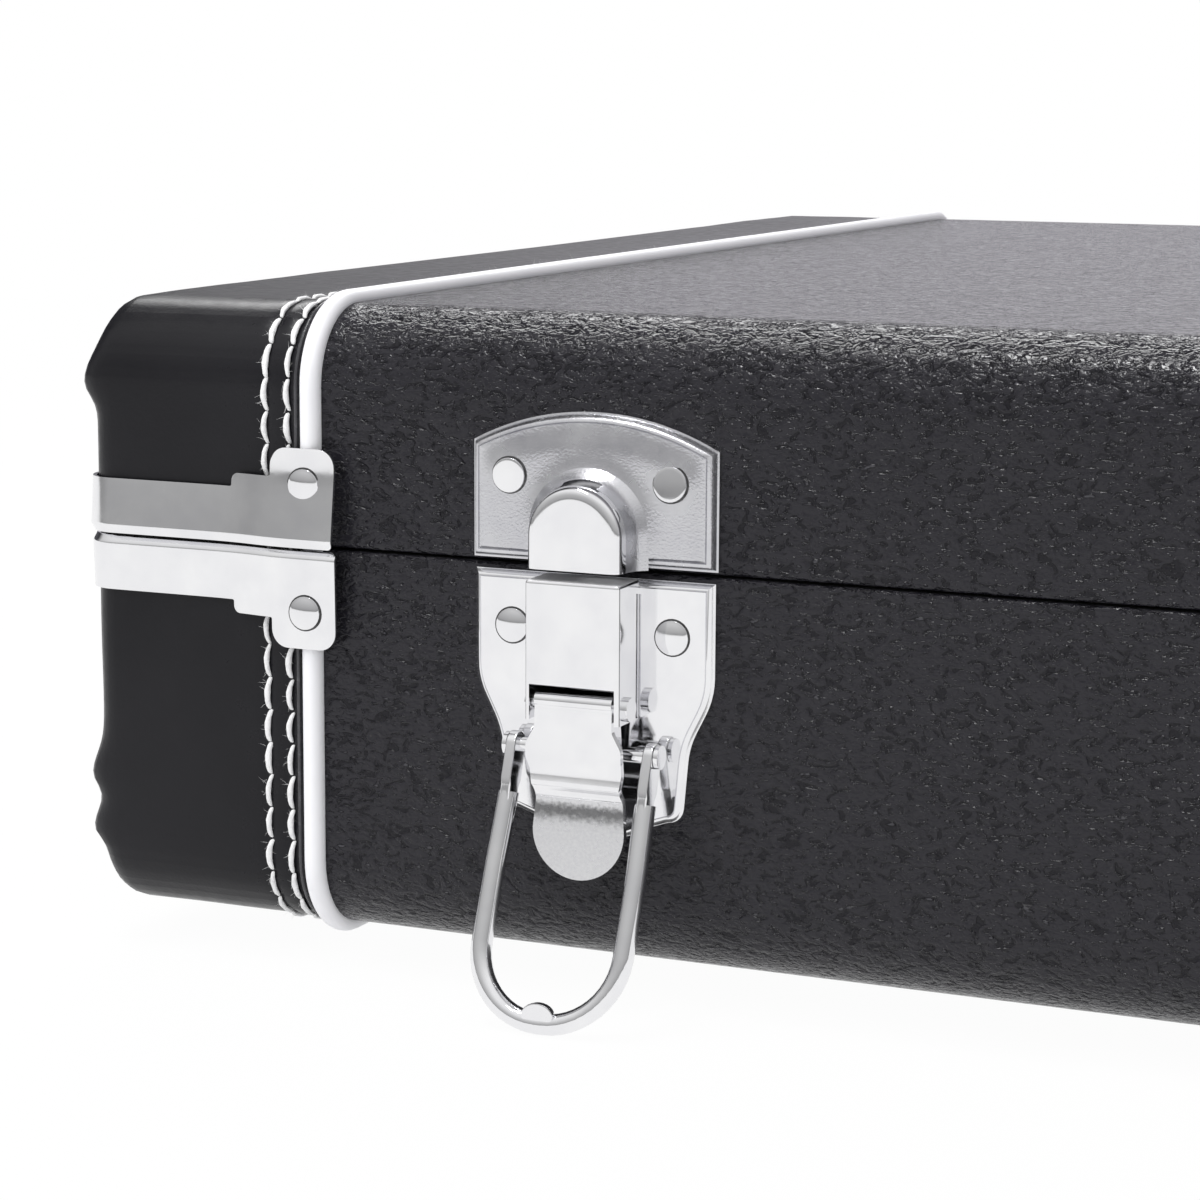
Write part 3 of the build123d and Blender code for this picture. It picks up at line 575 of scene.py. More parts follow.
def hookShell():
    v = keeperValues
    bm = bmesh.new()
    verts, edges = profileLine(bm, [(radius, -depth, v["hookCentre"]) for radius, depth in hookProfile])
    turned = bmesh.ops.spin(bm, geom=verts + edges, cent=(0, 0, v["hookCentre"]), axis=(0, 1, 0),
                            angle=math.radians(-180), steps=v["hookSteps"], use_merge=False)
    down = (0, 0, v["bottom"] - v["hookCentre"])
    for side in (edges, only(turned["geom_last"], bmesh.types.BMEdge)):
        legs = bmesh.ops.extrude_edge_only(bm, edges=side)["geom"]
        bmesh.ops.translate(bm, verts=only(legs, bmesh.types.BMVert), vec=down)
    bmesh.ops.remove_doubles(bm, verts=bm.verts, dist=0.001)
    front = min(vert.co.y for vert in bm.verts)
    atFront = [vert for vert in bm.verts if abs(vert.co.y - front) < 0.01]
    rim = [e for e in bm.edges if e.is_boundary and all(vert in atFront for vert in e.verts)]
    bmesh.ops.contextual_create(bm, geom=rim + atFront)
    near, far = v["slotDepth"]
    slot = []
    for face in bm.faces:
        centre = face.calc_center_median()
        above = centre.z > v["hookCentre"] + v["slotAbove"]
        if above and near < -centre.y < far and abs(centre.x) < v["slotHalf"]:
            slot.append(face)
    bmesh.ops.delete(bm, geom=slot, context="FACES")
    return bm


def keeperShape():
    v = keeperValues
    bm, face = pressedPlate(keeperOutline(), v)
    spans = {axis: [vert.co[axis] for vert in face.verts] for axis in (0, 2)}
    pieces = [face]
    for axis, places in spans.items():
        pieces = sliceAlong(bm, axis, min(places), max(places), v["slice"], pieces)
    for vert in bm.verts:
        share = min(1.0, max(0.0, -vert.co.y - v["flange"]) / v["fullDepth"] * v["swellGain"])
        vert.co.y -= keeperSwell(vert.co.x, vert.co.z) * share
    mergeInto(bm, hookShell())
    return bm


for number in latchNumbers:
    keeperPiece = latchPiece(keeperShape(), "keeperPlate", number, drawn, "lid", "keeper")
    hookFace = (latchPlace(number) @ Vector((0, -hookProfile[4][1], 0))).y
    secondFinish(keeperPiece, nickel, lambda face: face.center.y < hookFace)

# latch plate: pressed plate with a waist, and the housing that the lever turns in
plateValues = {"flange": 0.45,
               "press": [(0.15, 0.12), (0.25, 0.40), (0.28, 0.36), (0.25, 0.20), (0.12, 0.02), (0.10, -0.22),
                         (0.10, 0.22)],
               "corners": [(-15.2, 25.6, 2.6), (-16.3, 38.0, 13.0), (-20.4, 46.1, 13.0), (-20.4, 63.9, 0)],
               "toeCentre": 41.0, "toeRadius": 19.2, "toeHalfAngle": 38}
housingValues = {"half": 8.0, "jamb": 0.8, "back": 1.5, "front": 9.2, "top": 64.0, "foot": 42.0,
                 "window": 47.6, "fold": 0.6, "frostDeep": 0.7, "frostFrom": 2.5,
                 "pinRadius": 1.55, "pinDepth": 6.0, "pinHeight": 44.2}
grooveValues = {"beside": 0.05, "wide": 0.3, "deep": 0.7, "slope": 0.06, "endSlope": 0.1, "underTop": 2.4}


def latchPlateOutline():
    v = plateValues
    corners = v["corners"] + [(-x, z, r) for x, z, r in reversed(v["corners"])]
    toe = arcPoints(0, v["toeCentre"], v["toeRadius"], v["toeHalfAngle"] - 90, -v["toeHalfAngle"] - 90, 12)
    return roundedOutline(corners, 5) + toe[1:-1]


# dark line where the housing is folded out of the plate
def cutGroove(bm, face):
    v = grooveValues
    near, foot = housingValues["half"] + v["beside"], housingValues["foot"]
    far, top = near + v["wide"], housingValues["top"] - v["underTop"]
    pieces = [face]
    for x in (near, near + v["slope"], far, far + v["slope"]):
        for side in (-1, 1):
            pieces = cutAt(bm, 0, side * x, pieces)
    for z in (foot, foot + v["endSlope"], top, top + v["endSlope"]):
        pieces = cutAt(bm, 2, z, pieces)
    for vert in {vert for piece in pieces for vert in piece.verts}:
        inside = near + v["slope"] / 2 < abs(vert.co.x) < far + v["slope"] / 2
        if inside and foot + v["endSlope"] / 2 < vert.co.z < top + v["endSlope"] / 2:
            vert.co.y += v["deep"]


def housingShell():
    v = housingValues
    depth, inner = v["front"] - v["back"], v["half"] - v["jamb"]
    middle = (0, -v["back"] - depth / 2, (v["top"] + v["foot"]) / 2)
    bm = boxMesh((2 * v["half"], depth, v["top"] - v["foot"]), middle)
    for axis, place in ((2, v["window"]), (0, inner), (0, -inner)):
        cutAt(bm, axis, place)
    opened = []
    for face in bm.faces:
        centre, normal = face.calc_center_median(), face.normal
        inWindow = normal.y < -0.9 and centre.z < v["window"] and abs(centre.x) < inner
        if normal.y > 0.9 or normal.z < -0.9 or inWindow:
            opened.append(face)
    bmesh.ops.delete(bm, geom=opened, context="FACES")
    softenEdges(bm, sharpEdges(bm, 0.5), v["fold"], 4)
    bmesh.ops.recalc_face_normals(bm, faces=bm.faces)
    bmesh.ops.solidify(bm, geom=list(bm.faces), thickness=v["jamb"] * 0.9)
    for side in (-1, 1):
        mergeInto(bm, pinHead(side))
    return bm


# riveted end of the lever's pin on the housing's cheek
def pinHead(side):
    v = housingValues
    r = v["pinRadius"]
    bm = spunHead([(r, -0.3), (r, 0.15), (r - 0.2, 0.38), (0.7, 0.5), (0, 0.52)], 20)
    turn = Matrix.Rotation(math.radians(90 * side), 4, "Y")
    move = Matrix.Translation((side * v["half"], -v["pinDepth"], v["pinHeight"]))
    bmesh.ops.transform(bm, matrix=move @ turn, verts=bm.verts)
    return bm


def latchPlateShape():
    bm, face = pressedPlate(latchPlateOutline(), plateValues)
    cutGroove(bm, face)
    mergeInto(bm, housingShell())
    return bm


# the housing's top face, clear of the plate behind it
def onHousingTop(face):
    v = housingValues
    above = face.center.z > (latchPlace(1) @ Vector((0, 0, v["top"] - v["frostDeep"]))).z
    return above and face.normal.z > 0.8 and face.center.y < caseFront - v["frostFrom"] * mm


for number in latchNumbers:
    platePiece = latchPiece(latchPlateShape(), "latchPlate", number, nickel, "base", "latch_plate")
    secondFinish(platePiece, frosted, onHousingTop)
print("keepers and latch plates made")

# lever: one bent sheet from the rolled edge at its pin down to the finger tongue, heights and depths
leverLine = [(46.75, 6.2), (46.6, 7.2), (46.2, 8.1), (45.7, 8.65), (45.1, 8.85), (44.6, 8.75), (44.3, 8.5),
             (43.9, 8.5), (43.0, 8.6), (40.0, 8.65), (37.0, 8.65), (36.0, 8.55), (35.0, 8.15), (34.2, 7.75),
             (33.9, 7.62), (33.6, 7.60), (33.0, 7.67), (32.2, 7.77), (31.6, 7.83), (31.4, 7.78), (31.2, 7.6),
             (30.6, 7.1), (29.8, 6.5), (29.2, 6.15), (28.8, 6.02), (28.4, 6.0), (27.8, 6.06), (26.8, 6.2),
             (25.8, 6.32), (24.5, 6.42), (22.0, 6.55), (19.0, 6.68), (16.4, 6.78)]
leverValues = {"neck": 6.55, "wing": 8.1, "waist": 7.3, "tongue": 7.8, "tip": 16.4, "sheet": 1.1,
               "satinTop": 29.3, "cheekInset": 0.6, "cheekThick": 0.9, "cheekEye": (-5.8, 44.2, 2.2),
               "cheekToe": (-4.5, 36.8, 1.9)}


def leverDepth(z):
    for (upper, upperDepth), (lower, lowerDepth) in zip(leverLine, leverLine[1:]):
        if lower <= z <= upper:
            share = (upper - z) / (upper - lower)
            return upperDepth + (lowerDepth - upperDepth) * share
    return leverLine[0][1] if z > leverLine[0][0] else leverLine[-1][1]


def leverSheet():
    v = leverValues
    top, tipCentre = leverLine[0][0], v["tip"] + v["tongue"]
    side = [(v["neck"], top, 0.5), (v["neck"], 40.8, 2.2), (v["wing"], 38.0, 2.2), (v["wing"], 35.8, 3.0),
            (v["waist"], 30.5, 5.0), (v["tongue"], tipCentre, 0)]
    right = roundedOutline(side + [(0, tipCentre, 0), (0, top, 0)], 5)[:-3]
    tip = arcPoints(0, tipCentre, v["tongue"], 0, -180, 26)
    left = [Vector((-p.x, p.y)) for p in reversed(right)]
    bm = bmesh.new()
    flatFace(bm, right + tip + left)
    for z, _ in leverLine[1:-1]:
        cutAt(bm, 2, z)
    for vert in bm.verts:
        vert.co.y = -leverDepth(vert.co.z)
    bmesh.ops.recalc_face_normals(bm, faces=bm.faces)
    if sum(f.normal.y for f in bm.faces) > 0:
        bmesh.ops.reverse_faces(bm, faces=bm.faces)
    bmesh.ops.solidify(bm, geom=list(bm.faces), thickness=v["sheet"])
    bmesh.ops.recalc_face_normals(bm, faces=bm.faces)
    softenEdges(bm, sharpEdges(bm, 1.2), 0.28, 3)
    return bm


def leverCheek(side):
    v = leverValues
    outline = arcPoints(*v["cheekEye"], -20, 150, 10) + arcPoints(*v["cheekToe"], 190, 340, 10)
    return sideSlab(outline, side * (v["neck"] - v["cheekInset"]), -side * v["cheekThick"], 0.2, 2)


for number in latchNumbers:
    shape = leverSheet()
    for side in (-1, 1):
        mergeInto(shape, leverCheek(side))
    leverPiece = latchPiece(shape, "lever", number, nickel, f"latch_lever_{number}", "lever")
    tongueTop = (latchPlace(number) @ Vector((0, 0, leverValues["satinTop"]))).z
    secondFinish(leverPiece, satin, lambda face: face.center.z < tongueTop and face.normal.y < -0.9)
print("levers made")

# wire loop: round wire bowed a little outwards, flattened eyes on the loop pin, a small tongue in the bight
loopValues = {"wire": 1.68, "reach": 42.8, "half": 12.05, "topHalf": 11.7, "bight": 11.6,
              "eyeOutside": 12.5, "eyeThick": 1.7, "eyeRadius": 2.15,
              "eyeSide": [(2.15, -5.6), (1.7, -6.6), (1.5, -9.2)], "pinDepth": 4.5, "pinHeight": 36.8,
              "tongueRadius": 2.75, "tongueThick": 1.3, "tongueHigh": 0.74, "tongueFront": 1.15,
              "tongueUp": 1.25, "tongueTurn": 0.85, "askew": 1.5, "askewCurve": 1.3, "lower": 0.15}


def loopHang():
    drop = loopValues["pinHeight"] + (caseBottom - lowOf("loop_1").z) / mm - loopValues["wire"]
    return math.acos(min(1.0, drop / loopValues["reach"]))


def turnAboutX(bm, angle):
    bmesh.ops.rotate(bm, cent=(0, 0, 0), matrix=Matrix.Rotation(angle, 3, "X"), verts=bm.verts)


def loopTongue():
    v = loopValues
    radius = v["tongueRadius"]
    bm = bmesh.new()
    bmesh.ops.create_cone(bm, cap_ends=True, segments=28, radius1=radius, radius2=radius,
                          depth=v["tongueThick"])
    softenEdges(bm, sharpEdges(bm, 1.2), 0.3, 2)
    turnAboutX(bm, math.radians(90))
    bmesh.ops.scale(bm, vec=(1, 1, v["tongueHigh"]), verts=bm.verts)
    turnAboutX(bm, loopHang() * v["tongueTurn"])
    bmesh.ops.translate(bm, vec=(0, -v["tongueFront"], v["tongueUp"] - v["reach"]), verts=bm.verts)
    return bm


def loopEye(side):
    v = loopValues
    shank = [Vector((-x, z)) for x, z in v["eyeSide"]] + [Vector(place) for place in reversed(v["eyeSide"])]
    outline = arcPoints(0, 0, v["eyeRadius"], 0, 180, 10) + shank
    return sideSlab(outline, side * v["eyeOutside"], -side * v["eyeThick"], 0.3, 3)


def loopShape():
    v = loopValues
    half, reach, bight = v["half"], v["reach"], v["bight"]
    route = [(-v["topHalf"], -7.6), (-v["topHalf"] - 0.1, -12), (-half + 0.05, -18), (-half, -24)]
    route += [(p.x, p.y) for p in arcPoints(-half + bight, bight - reach, bight, 180, 270, 12)]
    route += [(-x, z) for x, z in reversed(route)]
    bm = wireMesh([(x, 0, z) for x, z in route], v["wire"], 6)
    for part in (loopEye(-1), loopEye(1), loopTongue()):
        mergeInto(bm, part)
    for vert in bm.verts:
        share = min(1.0, max(0.0, -vert.co.z / reach))
        vert.co.x -= v["askew"] * share ** v["askewCurve"]
        vert.co.z -= v["lower"] * share
    turnAboutX(bm, -loopHang())
    bmesh.ops.translate(bm, vec=(0, -v["pinDepth"], v["pinHeight"]), verts=bm.verts)
    return bm


for number in latchNumbers:
    latchPiece(loopShape(), "wireLoop", number, nickel, f"latch_loop_{number}", "loop")
print("loops made")


# end caps: leather drawn over the corners, with pleats at the ends, a folded edge beside the piping and
# grooves under the two rows of stitches
capValues = {
    "longRound": 13.0, "endRound": 5.0, "cordHalf": 1.75, "rimGap": 0.4, "leatherThick": 0.9,
    "foldWidth": 0.85, "foldRise": 0.46, "foldStart": 0.15, "foldSpan": 0.8,
    "dip": 0.14, "dipPast": 0.10, "dipWide": 0.16, "rows": {"Inner": 2.65, "Outer": 6.75},
    "groove": 0.24, "grooveWide": 0.9, "band": 0.12, "rough": [(32, 0.22), (90, 0.07)], "smoothEdge": 6,
    "sliceX": [0.15, 0.3, 0.45, 0.6, 0.75, 0.95, 1.1, 1.3, 1.6, 2.0, 2.3, 2.6, 2.9, 3.3, 3.8, 4.6, 5.4,
               5.9, 6.3, 6.6, 6.9, 7.4, 8.0, 9.5, 12, 15, 18, 22, 26, 30, 33],
    "sliceY": 3.2, "slicesY": 25, "sliceZ": 1.3}
pleatValues = {"spread": 12, "above": 1.8, "steep": 1.3, "fade": 0.075, "fadeCurve": 1.3,
               "lid": [{"z": 0.0960, "slope": -0.10, "rise": 2.6, "wide": 3.4}],
               "base": [{"z": 0.0290, "slope": 0.05, "rise": 2.4, "wide": 3.0},
                        {"z": 0.0195, "slope": 0.12, "rise": 2.2, "wide": 2.6}]}


def capForm(side, half):
    v = capValues
    bm = boxMesh(caseSize, caseMiddle)
    longEdges = [e for e in bm.edges if abs((e.verts[0].co - e.verts[1].co).normalized().x) > 0.9]
    softenEdges(bm, longEdges, v["longRound"] * mm, 10)
    endEdges = [e for e in bm.edges if all(abs(vert.co.x - endX[side]) < 1e-6 for vert in e.verts)]
    softenEdges(bm, endEdges, v["endRound"] * mm, 5)
    edge = cordX[side] + outwardX[side] * v["cordHalf"] * mm
    cutAt(bm, 0, edge, clear=-outwardX[side])
    cutAt(bm, 2, rimZ[half] + awayZ[half] * v["rimGap"] * mm, clear=-awayZ[half])
    return bm, edge


def leatherHeight(co, edge):
    v = capValues
    away = abs(co.x - edge) / mm
    inner, outer = v["rows"].values()
    rise = 0.0
    if away < v["foldWidth"]:
        share = min(1.0, max(0.0, (away - v["foldStart"]) / v["foldSpan"]))
        rise += v["foldRise"] * math.sin(math.pi * share)
    rise -= v["dip"] * math.exp(-((away - v["foldWidth"] - v["dipPast"]) / v["dipWide"]) ** 2)
    for row in (inner, outer):
        rise -= v["groove"] * math.exp(-((away - row) / v["grooveWide"]) ** 2)
    if inner < away < outer:
        rise += v["band"]
    return rise


def pleatHeight(co, half):
    v = pleatValues
    rise = 0.0
    inward = min(co.y - caseFront, caseBack - co.y)
    for fold in v[half]:
        line = fold["z"] + fold["slope"] * inward
        wide = fold["wide"] * mm * (1 + inward * v["spread"])
        across = (co.z - line) / (wide * (v["above"] if co.z > line else 1.0))
        fade = max(0.0, 1 - inward / v["fade"])
        rise += fold["rise"] * math.exp(-across * across * v["steep"]) * fade ** v["fadeCurve"]
    return rise


def leatherCap(side, half):
    v = capValues
    bm, edge = capForm(side, half)
    for distance in v["sliceX"]:
        cutAt(bm, 0, edge + outwardX[side] * distance * mm)
    sliceAlong(bm, 2, *sorted((rimZ[half], farZ[half])), v["sliceZ"] * mm)
    for step in range(1, v["slicesY"] + 1):
        for y in (caseFront + step * v["sliceY"] * mm, caseBack - step * v["sliceY"] * mm):
            cutAt(bm, 1, y)
    cutAt(bm, 1, caseMiddle.y)
    bmesh.ops.remove_doubles(bm, verts=bm.verts, dist=0.03 * mm)
    bmesh.ops.recalc_face_normals(bm, faces=bm.faces)
    bm.normal_update()
    normals = {vert: vert.normal.copy() for vert in bm.verts}
    if sum(normal.dot(vert.co - caseMiddle) for vert, normal in normals.items()) < 0:
        normals = {vert: -normal for vert, normal in normals.items()}
    for vert, normal in normals.items():
        nearEdge = min(1.0, abs(vert.co.x - edge) / (v["smoothEdge"] * mm))
        nearEnd = max(0.0, 1 - abs(vert.co.x - endX[side]) / (v["endRound"] * mm * 1.1))
        rise = leatherHeight(vert.co, edge) + ripples(vert.co, v["rough"]) * nearEdge
        pleat = pleatHeight(vert.co, half) * mm * min(1.0, nearEnd * 1.6)
        vert.co += normal * rise * mm
        vert.co.x += outwardX[side] * pleat
    piece = finishPiece(bm, f"{half}Leather{side.capitalize()}", leather, half,
                        f"{half}_cap_{side}", 60)
    giveWall(piece, "leatherThick", v["leatherThick"], -1)
    return edge


# places round the case's section, from the rim at the front to the rim at the back, each with the direction
# outwards and the one along the path; the back is the front's mirror image
def capPath(half, spacing):
    r = capValues["longRound"] * mm
    up = awayZ[half]
    straight = abs(farZ[half] - rimZ[half]) - r
    quarter = r * math.pi / 2
    total = 2 * straight + 2 * quarter + (caseBack - caseFront) - 2 * r
    places = []
    count = int(total / spacing)
    for index in range(count):
        s = (index + 0.5) * total / count
        front = min(s, total - s)
        angle = min(max(front - straight, 0.0) / r, math.pi / 2)
        out = Vector((0, -math.cos(angle), up * math.sin(angle)))
        along = Vector((0, math.sin(angle), up * math.cos(angle)))
        beyond = min(front - straight, 0.0) + max(front - straight - quarter, 0.0)
        place = Vector((0, caseFront + r, farZ[half] - up * r)) + out * r + along * beyond
        if s > total / 2:
            place.y = caseFront + caseBack - place.y
            out.y, along.z = -out.y, -along.z
        places.append((place, out, along))
    return places


# the leather's burnished edge, a fine bead standing beside the piping
beadValues = {"radius": 0.34, "beside": 1.0, "lift": 0.22, "pitch": 2.4}


def burnishedEdge(side, half, edge):
    v = beadValues
    x = edge + outwardX[side] * v["beside"] * mm
    spots = [place + out * (v["lift"] * mm) for place, out, _ in capPath(half, v["pitch"] * mm)]
    bm = wireMesh([(x, spot.y, spot.z) for spot in spots], v["radius"] * mm, 2)
    finishPiece(bm, f"{half}Bead{side.capitalize()}", burnished, half, sharp=60)


# stitches: fuzzy white thread, one small swollen form for each stitch, leaning a little like hand work
stitchValues = {"pitch": 5.4, "long": 5.4, "wide": 1.05, "thick": 0.85, "bow": 0.55, "lift": 0.30,
                "sink": 0.16, "slant": 0.10, "longSpread": (0.94, 1.06), "wideSpread": (0.88, 1.12),
                "bowSpread": (0.7, 1.25), "slantSpread": (-0.10, 0.14), "blunt": -0.24, "plyDeep": 0.10,
                "plyTurn": 7}
fibreValues = {"count": 9, "wide": 0.021, "up": 0.35, "along": 0.8, "aside": (-0.2, 0.6), "taper": 0.7,
               "headAside": (-1.0, 1.2), "headAlong": (-0.9, 0.9), "curlAlong": (-0.5, 0.5),
               "curlOut": (-0.2, 0.3), "reach": (0.35, 1.5)}


def stitchRow(side, half, edge, rowName):
    v = stitchValues
    x = edge + outwardX[side] * capValues["rows"][rowName] * mm
    bm = bmesh.new()
    aside = Vector((outwardX[side], 0, 0))
    for place, out, along in capPath(half, v["pitch"] * mm):
        centre = Vector((x, place.y, place.z))
        made = bmesh.ops.create_uvsphere(bm, u_segments=8, v_segments=9, radius=1)
        long = v["long"] * random.uniform(*v["longSpread"]) / 2
        wide = v["wide"] * random.uniform(*v["wideSpread"]) / 2
        bow = v["bow"] * random.uniform(*v["bowSpread"])
        skew = v["slant"] + random.uniform(*v["slantSpread"])
        for vert in made["verts"]:
            b, c, a = vert.co
            body = max(0.0, 1 - a * a)
            swell = body ** v["blunt"] if body > 0.001 else 0.0
            ply = 1 + v["plyDeep"] * math.cos(2 * math.atan2(c, b) + v["plyTurn"] * a)
            point = along * (a * long) + aside * (b * swell * wide * ply + bow * (body - 0.5) + skew * a)
            point += out * (c * swell * v["thick"] / 2 * ply + v["lift"] * body ** 0.5 - v["sink"])
            vert.co = centre + point * mm
        for _ in range(fibreValues["count"]):
            addFibre(bm, centre, aside, out, along, long)
    name = f"{half}Stitches{side.capitalize()}{rowName}"
    finishPiece(bm, name, thread, half, sharp=80, weld=False)


# a loose fibre of the thread: a narrow curved ribbon of three faces
def addFibre(bm, centre, aside, out, along, long):
    v = fibreValues
    shift = random.uniform(-v["along"], v["along"]) * long
    root = centre + (along * shift + out * v["up"] + aside * random.uniform(*v["aside"])) * mm
    heading = aside * random.uniform(*v["headAside"]) + along * random.uniform(*v["headAlong"])
    heading = (heading + out * v["up"]).normalized()
    curl = along * random.uniform(*v["curlAlong"]) + out * random.uniform(*v["curlOut"])
    reach = random.uniform(*v["reach"])
    width = heading.cross(out).normalized() * v["wide"] * mm
    rows = []
    for step in range(4):
        t = step / 3
        spot = root + (heading * reach * t + curl * t * t * reach * 0.5) * mm
        taper = 1 - v["taper"] * t
        rows.append((bm.verts.new(spot + width * taper), bm.verts.new(spot - width * taper)))
    for (a1, b1), (a2, b2) in zip(rows, rows[1:]):
        bm.faces.new((a1, b1, b2, a2))


for side in sides:
    for half in halves:
        capEdgeX = leatherCap(side, half)
        burnishedEdge(side, half, capEdgeX)
        for rowName in capValues["rows"]:
            stitchRow(side, half, capEdgeX, rowName)
print("leather caps and stitches made")


# rivets: a low dome spun for each one, standing where the solid's rivet stands
rivetValues = {"radius": 2.75, "dome": 0.5, "flatDome": 0.06, "edge": 0.25, "flatEdge": 0.45,
               "bevel": 0.12, "bevelRise": 0.1, "domeSteps": 7, "headHeight": 1.3, "tilt": 1.5,
               "flatTilt": 6.0, "flatLean": 0.5, "seam": 0.24, "seamTop": 0.09, "endZone": 8.0}


def looseParts(node):
    bm = bmesh.new()
    bm.from_mesh(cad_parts[node].data)
    bmesh.ops.remove_doubles(bm, verts=bm.verts, dist=0.000001)
    waiting, boxes = set(bm.verts), []
    while waiting:
        group, border = [], [waiting.pop()]
        while border:
            vert = border.pop()
            group.append(vert.co)
            for edge in vert.link_edges:
                other = edge.other_vert(vert)
                if other in waiting:
                    waiting.remove(other)
                    border.append(other)
        boxes.append([Vector(pick(place[i] for place in group) for i in range(3)) for pick in (min, max)])
    bm.free()
    return sorted(boxes, key=lambda pair: tuple(round(value, 4) for value in pair[0]))


def plateDepth(values):
    return values["flange"] + sum(rise for _, rise in values["press"])


def latchOf(point):
    for number in latchNumbers:
        if abs(point.x - latchPlace(number).translation.x) < keeperValues["half"] * mm:
            return number
    return 0


def rivetSeat(low, high, half):
    v = rivetValues
    middle = (low + high) / 2
    if abs(middle.x) > caseRight - v["endZone"] * mm:
        outward = Vector((math.copysign(1, middle.x), 0, 0))
    else:
        outward = Vector((0, -1 if middle.y < caseMiddle.y else 1, 0))
    reach = max(abs((high - middle).dot(outward)), abs((low - middle).dot(outward)))
    seat = middle + outward * (reach - v["headHeight"] * mm)
    number = latchOf(middle) if outward.y < 0 else 0
    if number:
        x = (middle.x - latchPlace(number).translation.x) / mm
        z = (middle.z - caseBottom) / mm
        depth = plateDepth(plateValues) if half == "base" else plateDepth(keeperValues) + keeperSwell(x, z)
        seat.y = caseFront - depth * mm
    return seat, outward, number


# flat heads in the keepers, one of each pair tilted a little up; low domes elsewhere
def rivetHead(low, high, half):
    v = rivetValues
    seat, outward, number = rivetSeat(low, high, half)
    flat = number and half == "lid"
    dome, edge = (v["flatDome"], v["flatEdge"]) if flat else (v["dome"], v["edge"])
    radius, inner, crown = v["radius"], v["radius"] - v["bevel"], edge + v["bevelRise"]
    # the profile begins with a thin ring round the head, which takes the dark finish: painted shadow
    profile = [(radius + v["seam"], -0.1), (radius + v["seam"], v["seamTop"]), (radius, v["seamTop"] + 0.04),
               (radius, edge), (radius - 0.04, edge + 0.08), (inner, crown)]
    shares = [1 - step / v["domeSteps"] for step in range(1, v["domeSteps"] + 1)]
    bm = spunHead(profile + [(inner * share, crown + dome * (1 - share ** 2)) for share in shares], 28)
    for face in bm.faces:
        face.material_index = 1 if face.calc_center_median().z < v["seamTop"] + 0.03 else 0
    bmesh.ops.scale(bm, vec=(mm, mm, mm), verts=bm.verts)
    turn = outward.to_track_quat("Z", "Y").to_matrix().to_4x4()
    tilt = random.uniform(-v["tilt"], v["tilt"])
    if flat:
        tilt = -v["flatTilt"] if seat.x > latchPlace(number).translation.x else v["flatLean"]
    lean = Matrix.Rotation(math.radians(tilt), 4, "X")
    bmesh.ops.transform(bm, matrix=Matrix.Translation(seat) @ turn @ lean, verts=bm.verts)
    return bm


for half in halves:
    heads = bmesh.new()
    for low, high in looseParts(f"{half}_rivets"):
        mergeInto(heads, rivetHead(low, high, half))
    rivetPiece = finishPiece(heads, f"{half}RivetHeads", nickel, half, f"{half}_rivets", 40)
    # the second finish is the painted shadow round each head
    rivetPiece.data.materials.append(seam)
print("rivets made")


# steel strips at the seam: one sheet bent round the end, with a step and a tab at front and back
stripValues = {
    "low": 9.2, "step": 11.4, "tab": 16.2, "stepStart": 28.6, "tabStart": 36.4, "reach": 48.3, "foot": 0.05,
    "tabRound": 3.0, "stepRound": 1.2, "footRound": 0.9, "innerRound": 0.3, "inside": 0.15, "sheet": 0.6,
    "edgeBevel": 0.2, "lean": {"lid": 1.65, "base": 0.25}, "leanTop": 13.0, "leanKnee": 0.8,
    "endRound": 5.0, "endLean": 0.4, "endBlend": 6.0, "curl": 1.3, "curlSlope": 0.6,
    "tabLift": 2.05, "tabPast": 4.0, "tabBlend": 2.6, "sliceS": 1.2, "slicesS": 33, "bends": 8,
    "sliceZ": [0.3, 0.6, 0.9, 1.2, 1.4, 1.7, 2.4, 4, 6, 8, 10, 12, 14]}


# the flat sheet before it is bent, lengths counted from where the end's front corner begins
def stripFlat():
    v = stripValues
    corner = v["endRound"] * math.pi / 2
    across = (caseBack - caseFront) / mm - 2 * v["endRound"]
    start = -(v["reach"] - v["endRound"])
    end = across + 2 * corner + v["reach"] - v["endRound"]
    tabIn, stepIn = v["reach"] - v["tabStart"], v["reach"] - v["stepStart"]
    right = [(end, v["foot"], v["footRound"]), (end, v["tab"], v["tabRound"]),
             (end - tabIn, v["tab"], v["tabRound"]), (end - tabIn, v["step"], v["innerRound"]),
             (end - stepIn, v["step"], v["stepRound"]), (end - stepIn, v["low"], v["innerRound"])]
    left = [(start + end - s, z, r) for s, z, r in reversed(right)]
    return roundedOutline(left[-1:] + right + left[:-1], 8), start, end, across, corner


# how far the sheet stands off the case: it hugs the cap, leans out and rolls in again at the seam
def stripStandOff(s, rise, start, end, half):
    v = stripValues
    along = min(s - start, end - s)
    endShare = max(0.0, min(1.0, (along - v["reach"] + v["endRound"]) / v["endBlend"]))
    height, knee = rise / v["leanTop"], v["leanKnee"]
    share = max(0.0, 1 - height) if height < knee else (1 - knee) * math.exp(-(height - knee) / (1 - knee))
    lean = (v["lean"][half] * (1 - endShare) + v["endLean"] * endShare) * share
    roll = max(0.0, v["curl"] - rise) * v["curlSlope"]
    tab = v["tabLift"] / (1 + math.exp((along - v["reach"] + v["stepStart"] + v["tabPast"]) / v["tabBlend"]))
    return v["inside"] + v["sheet"] + lean + tab - roll


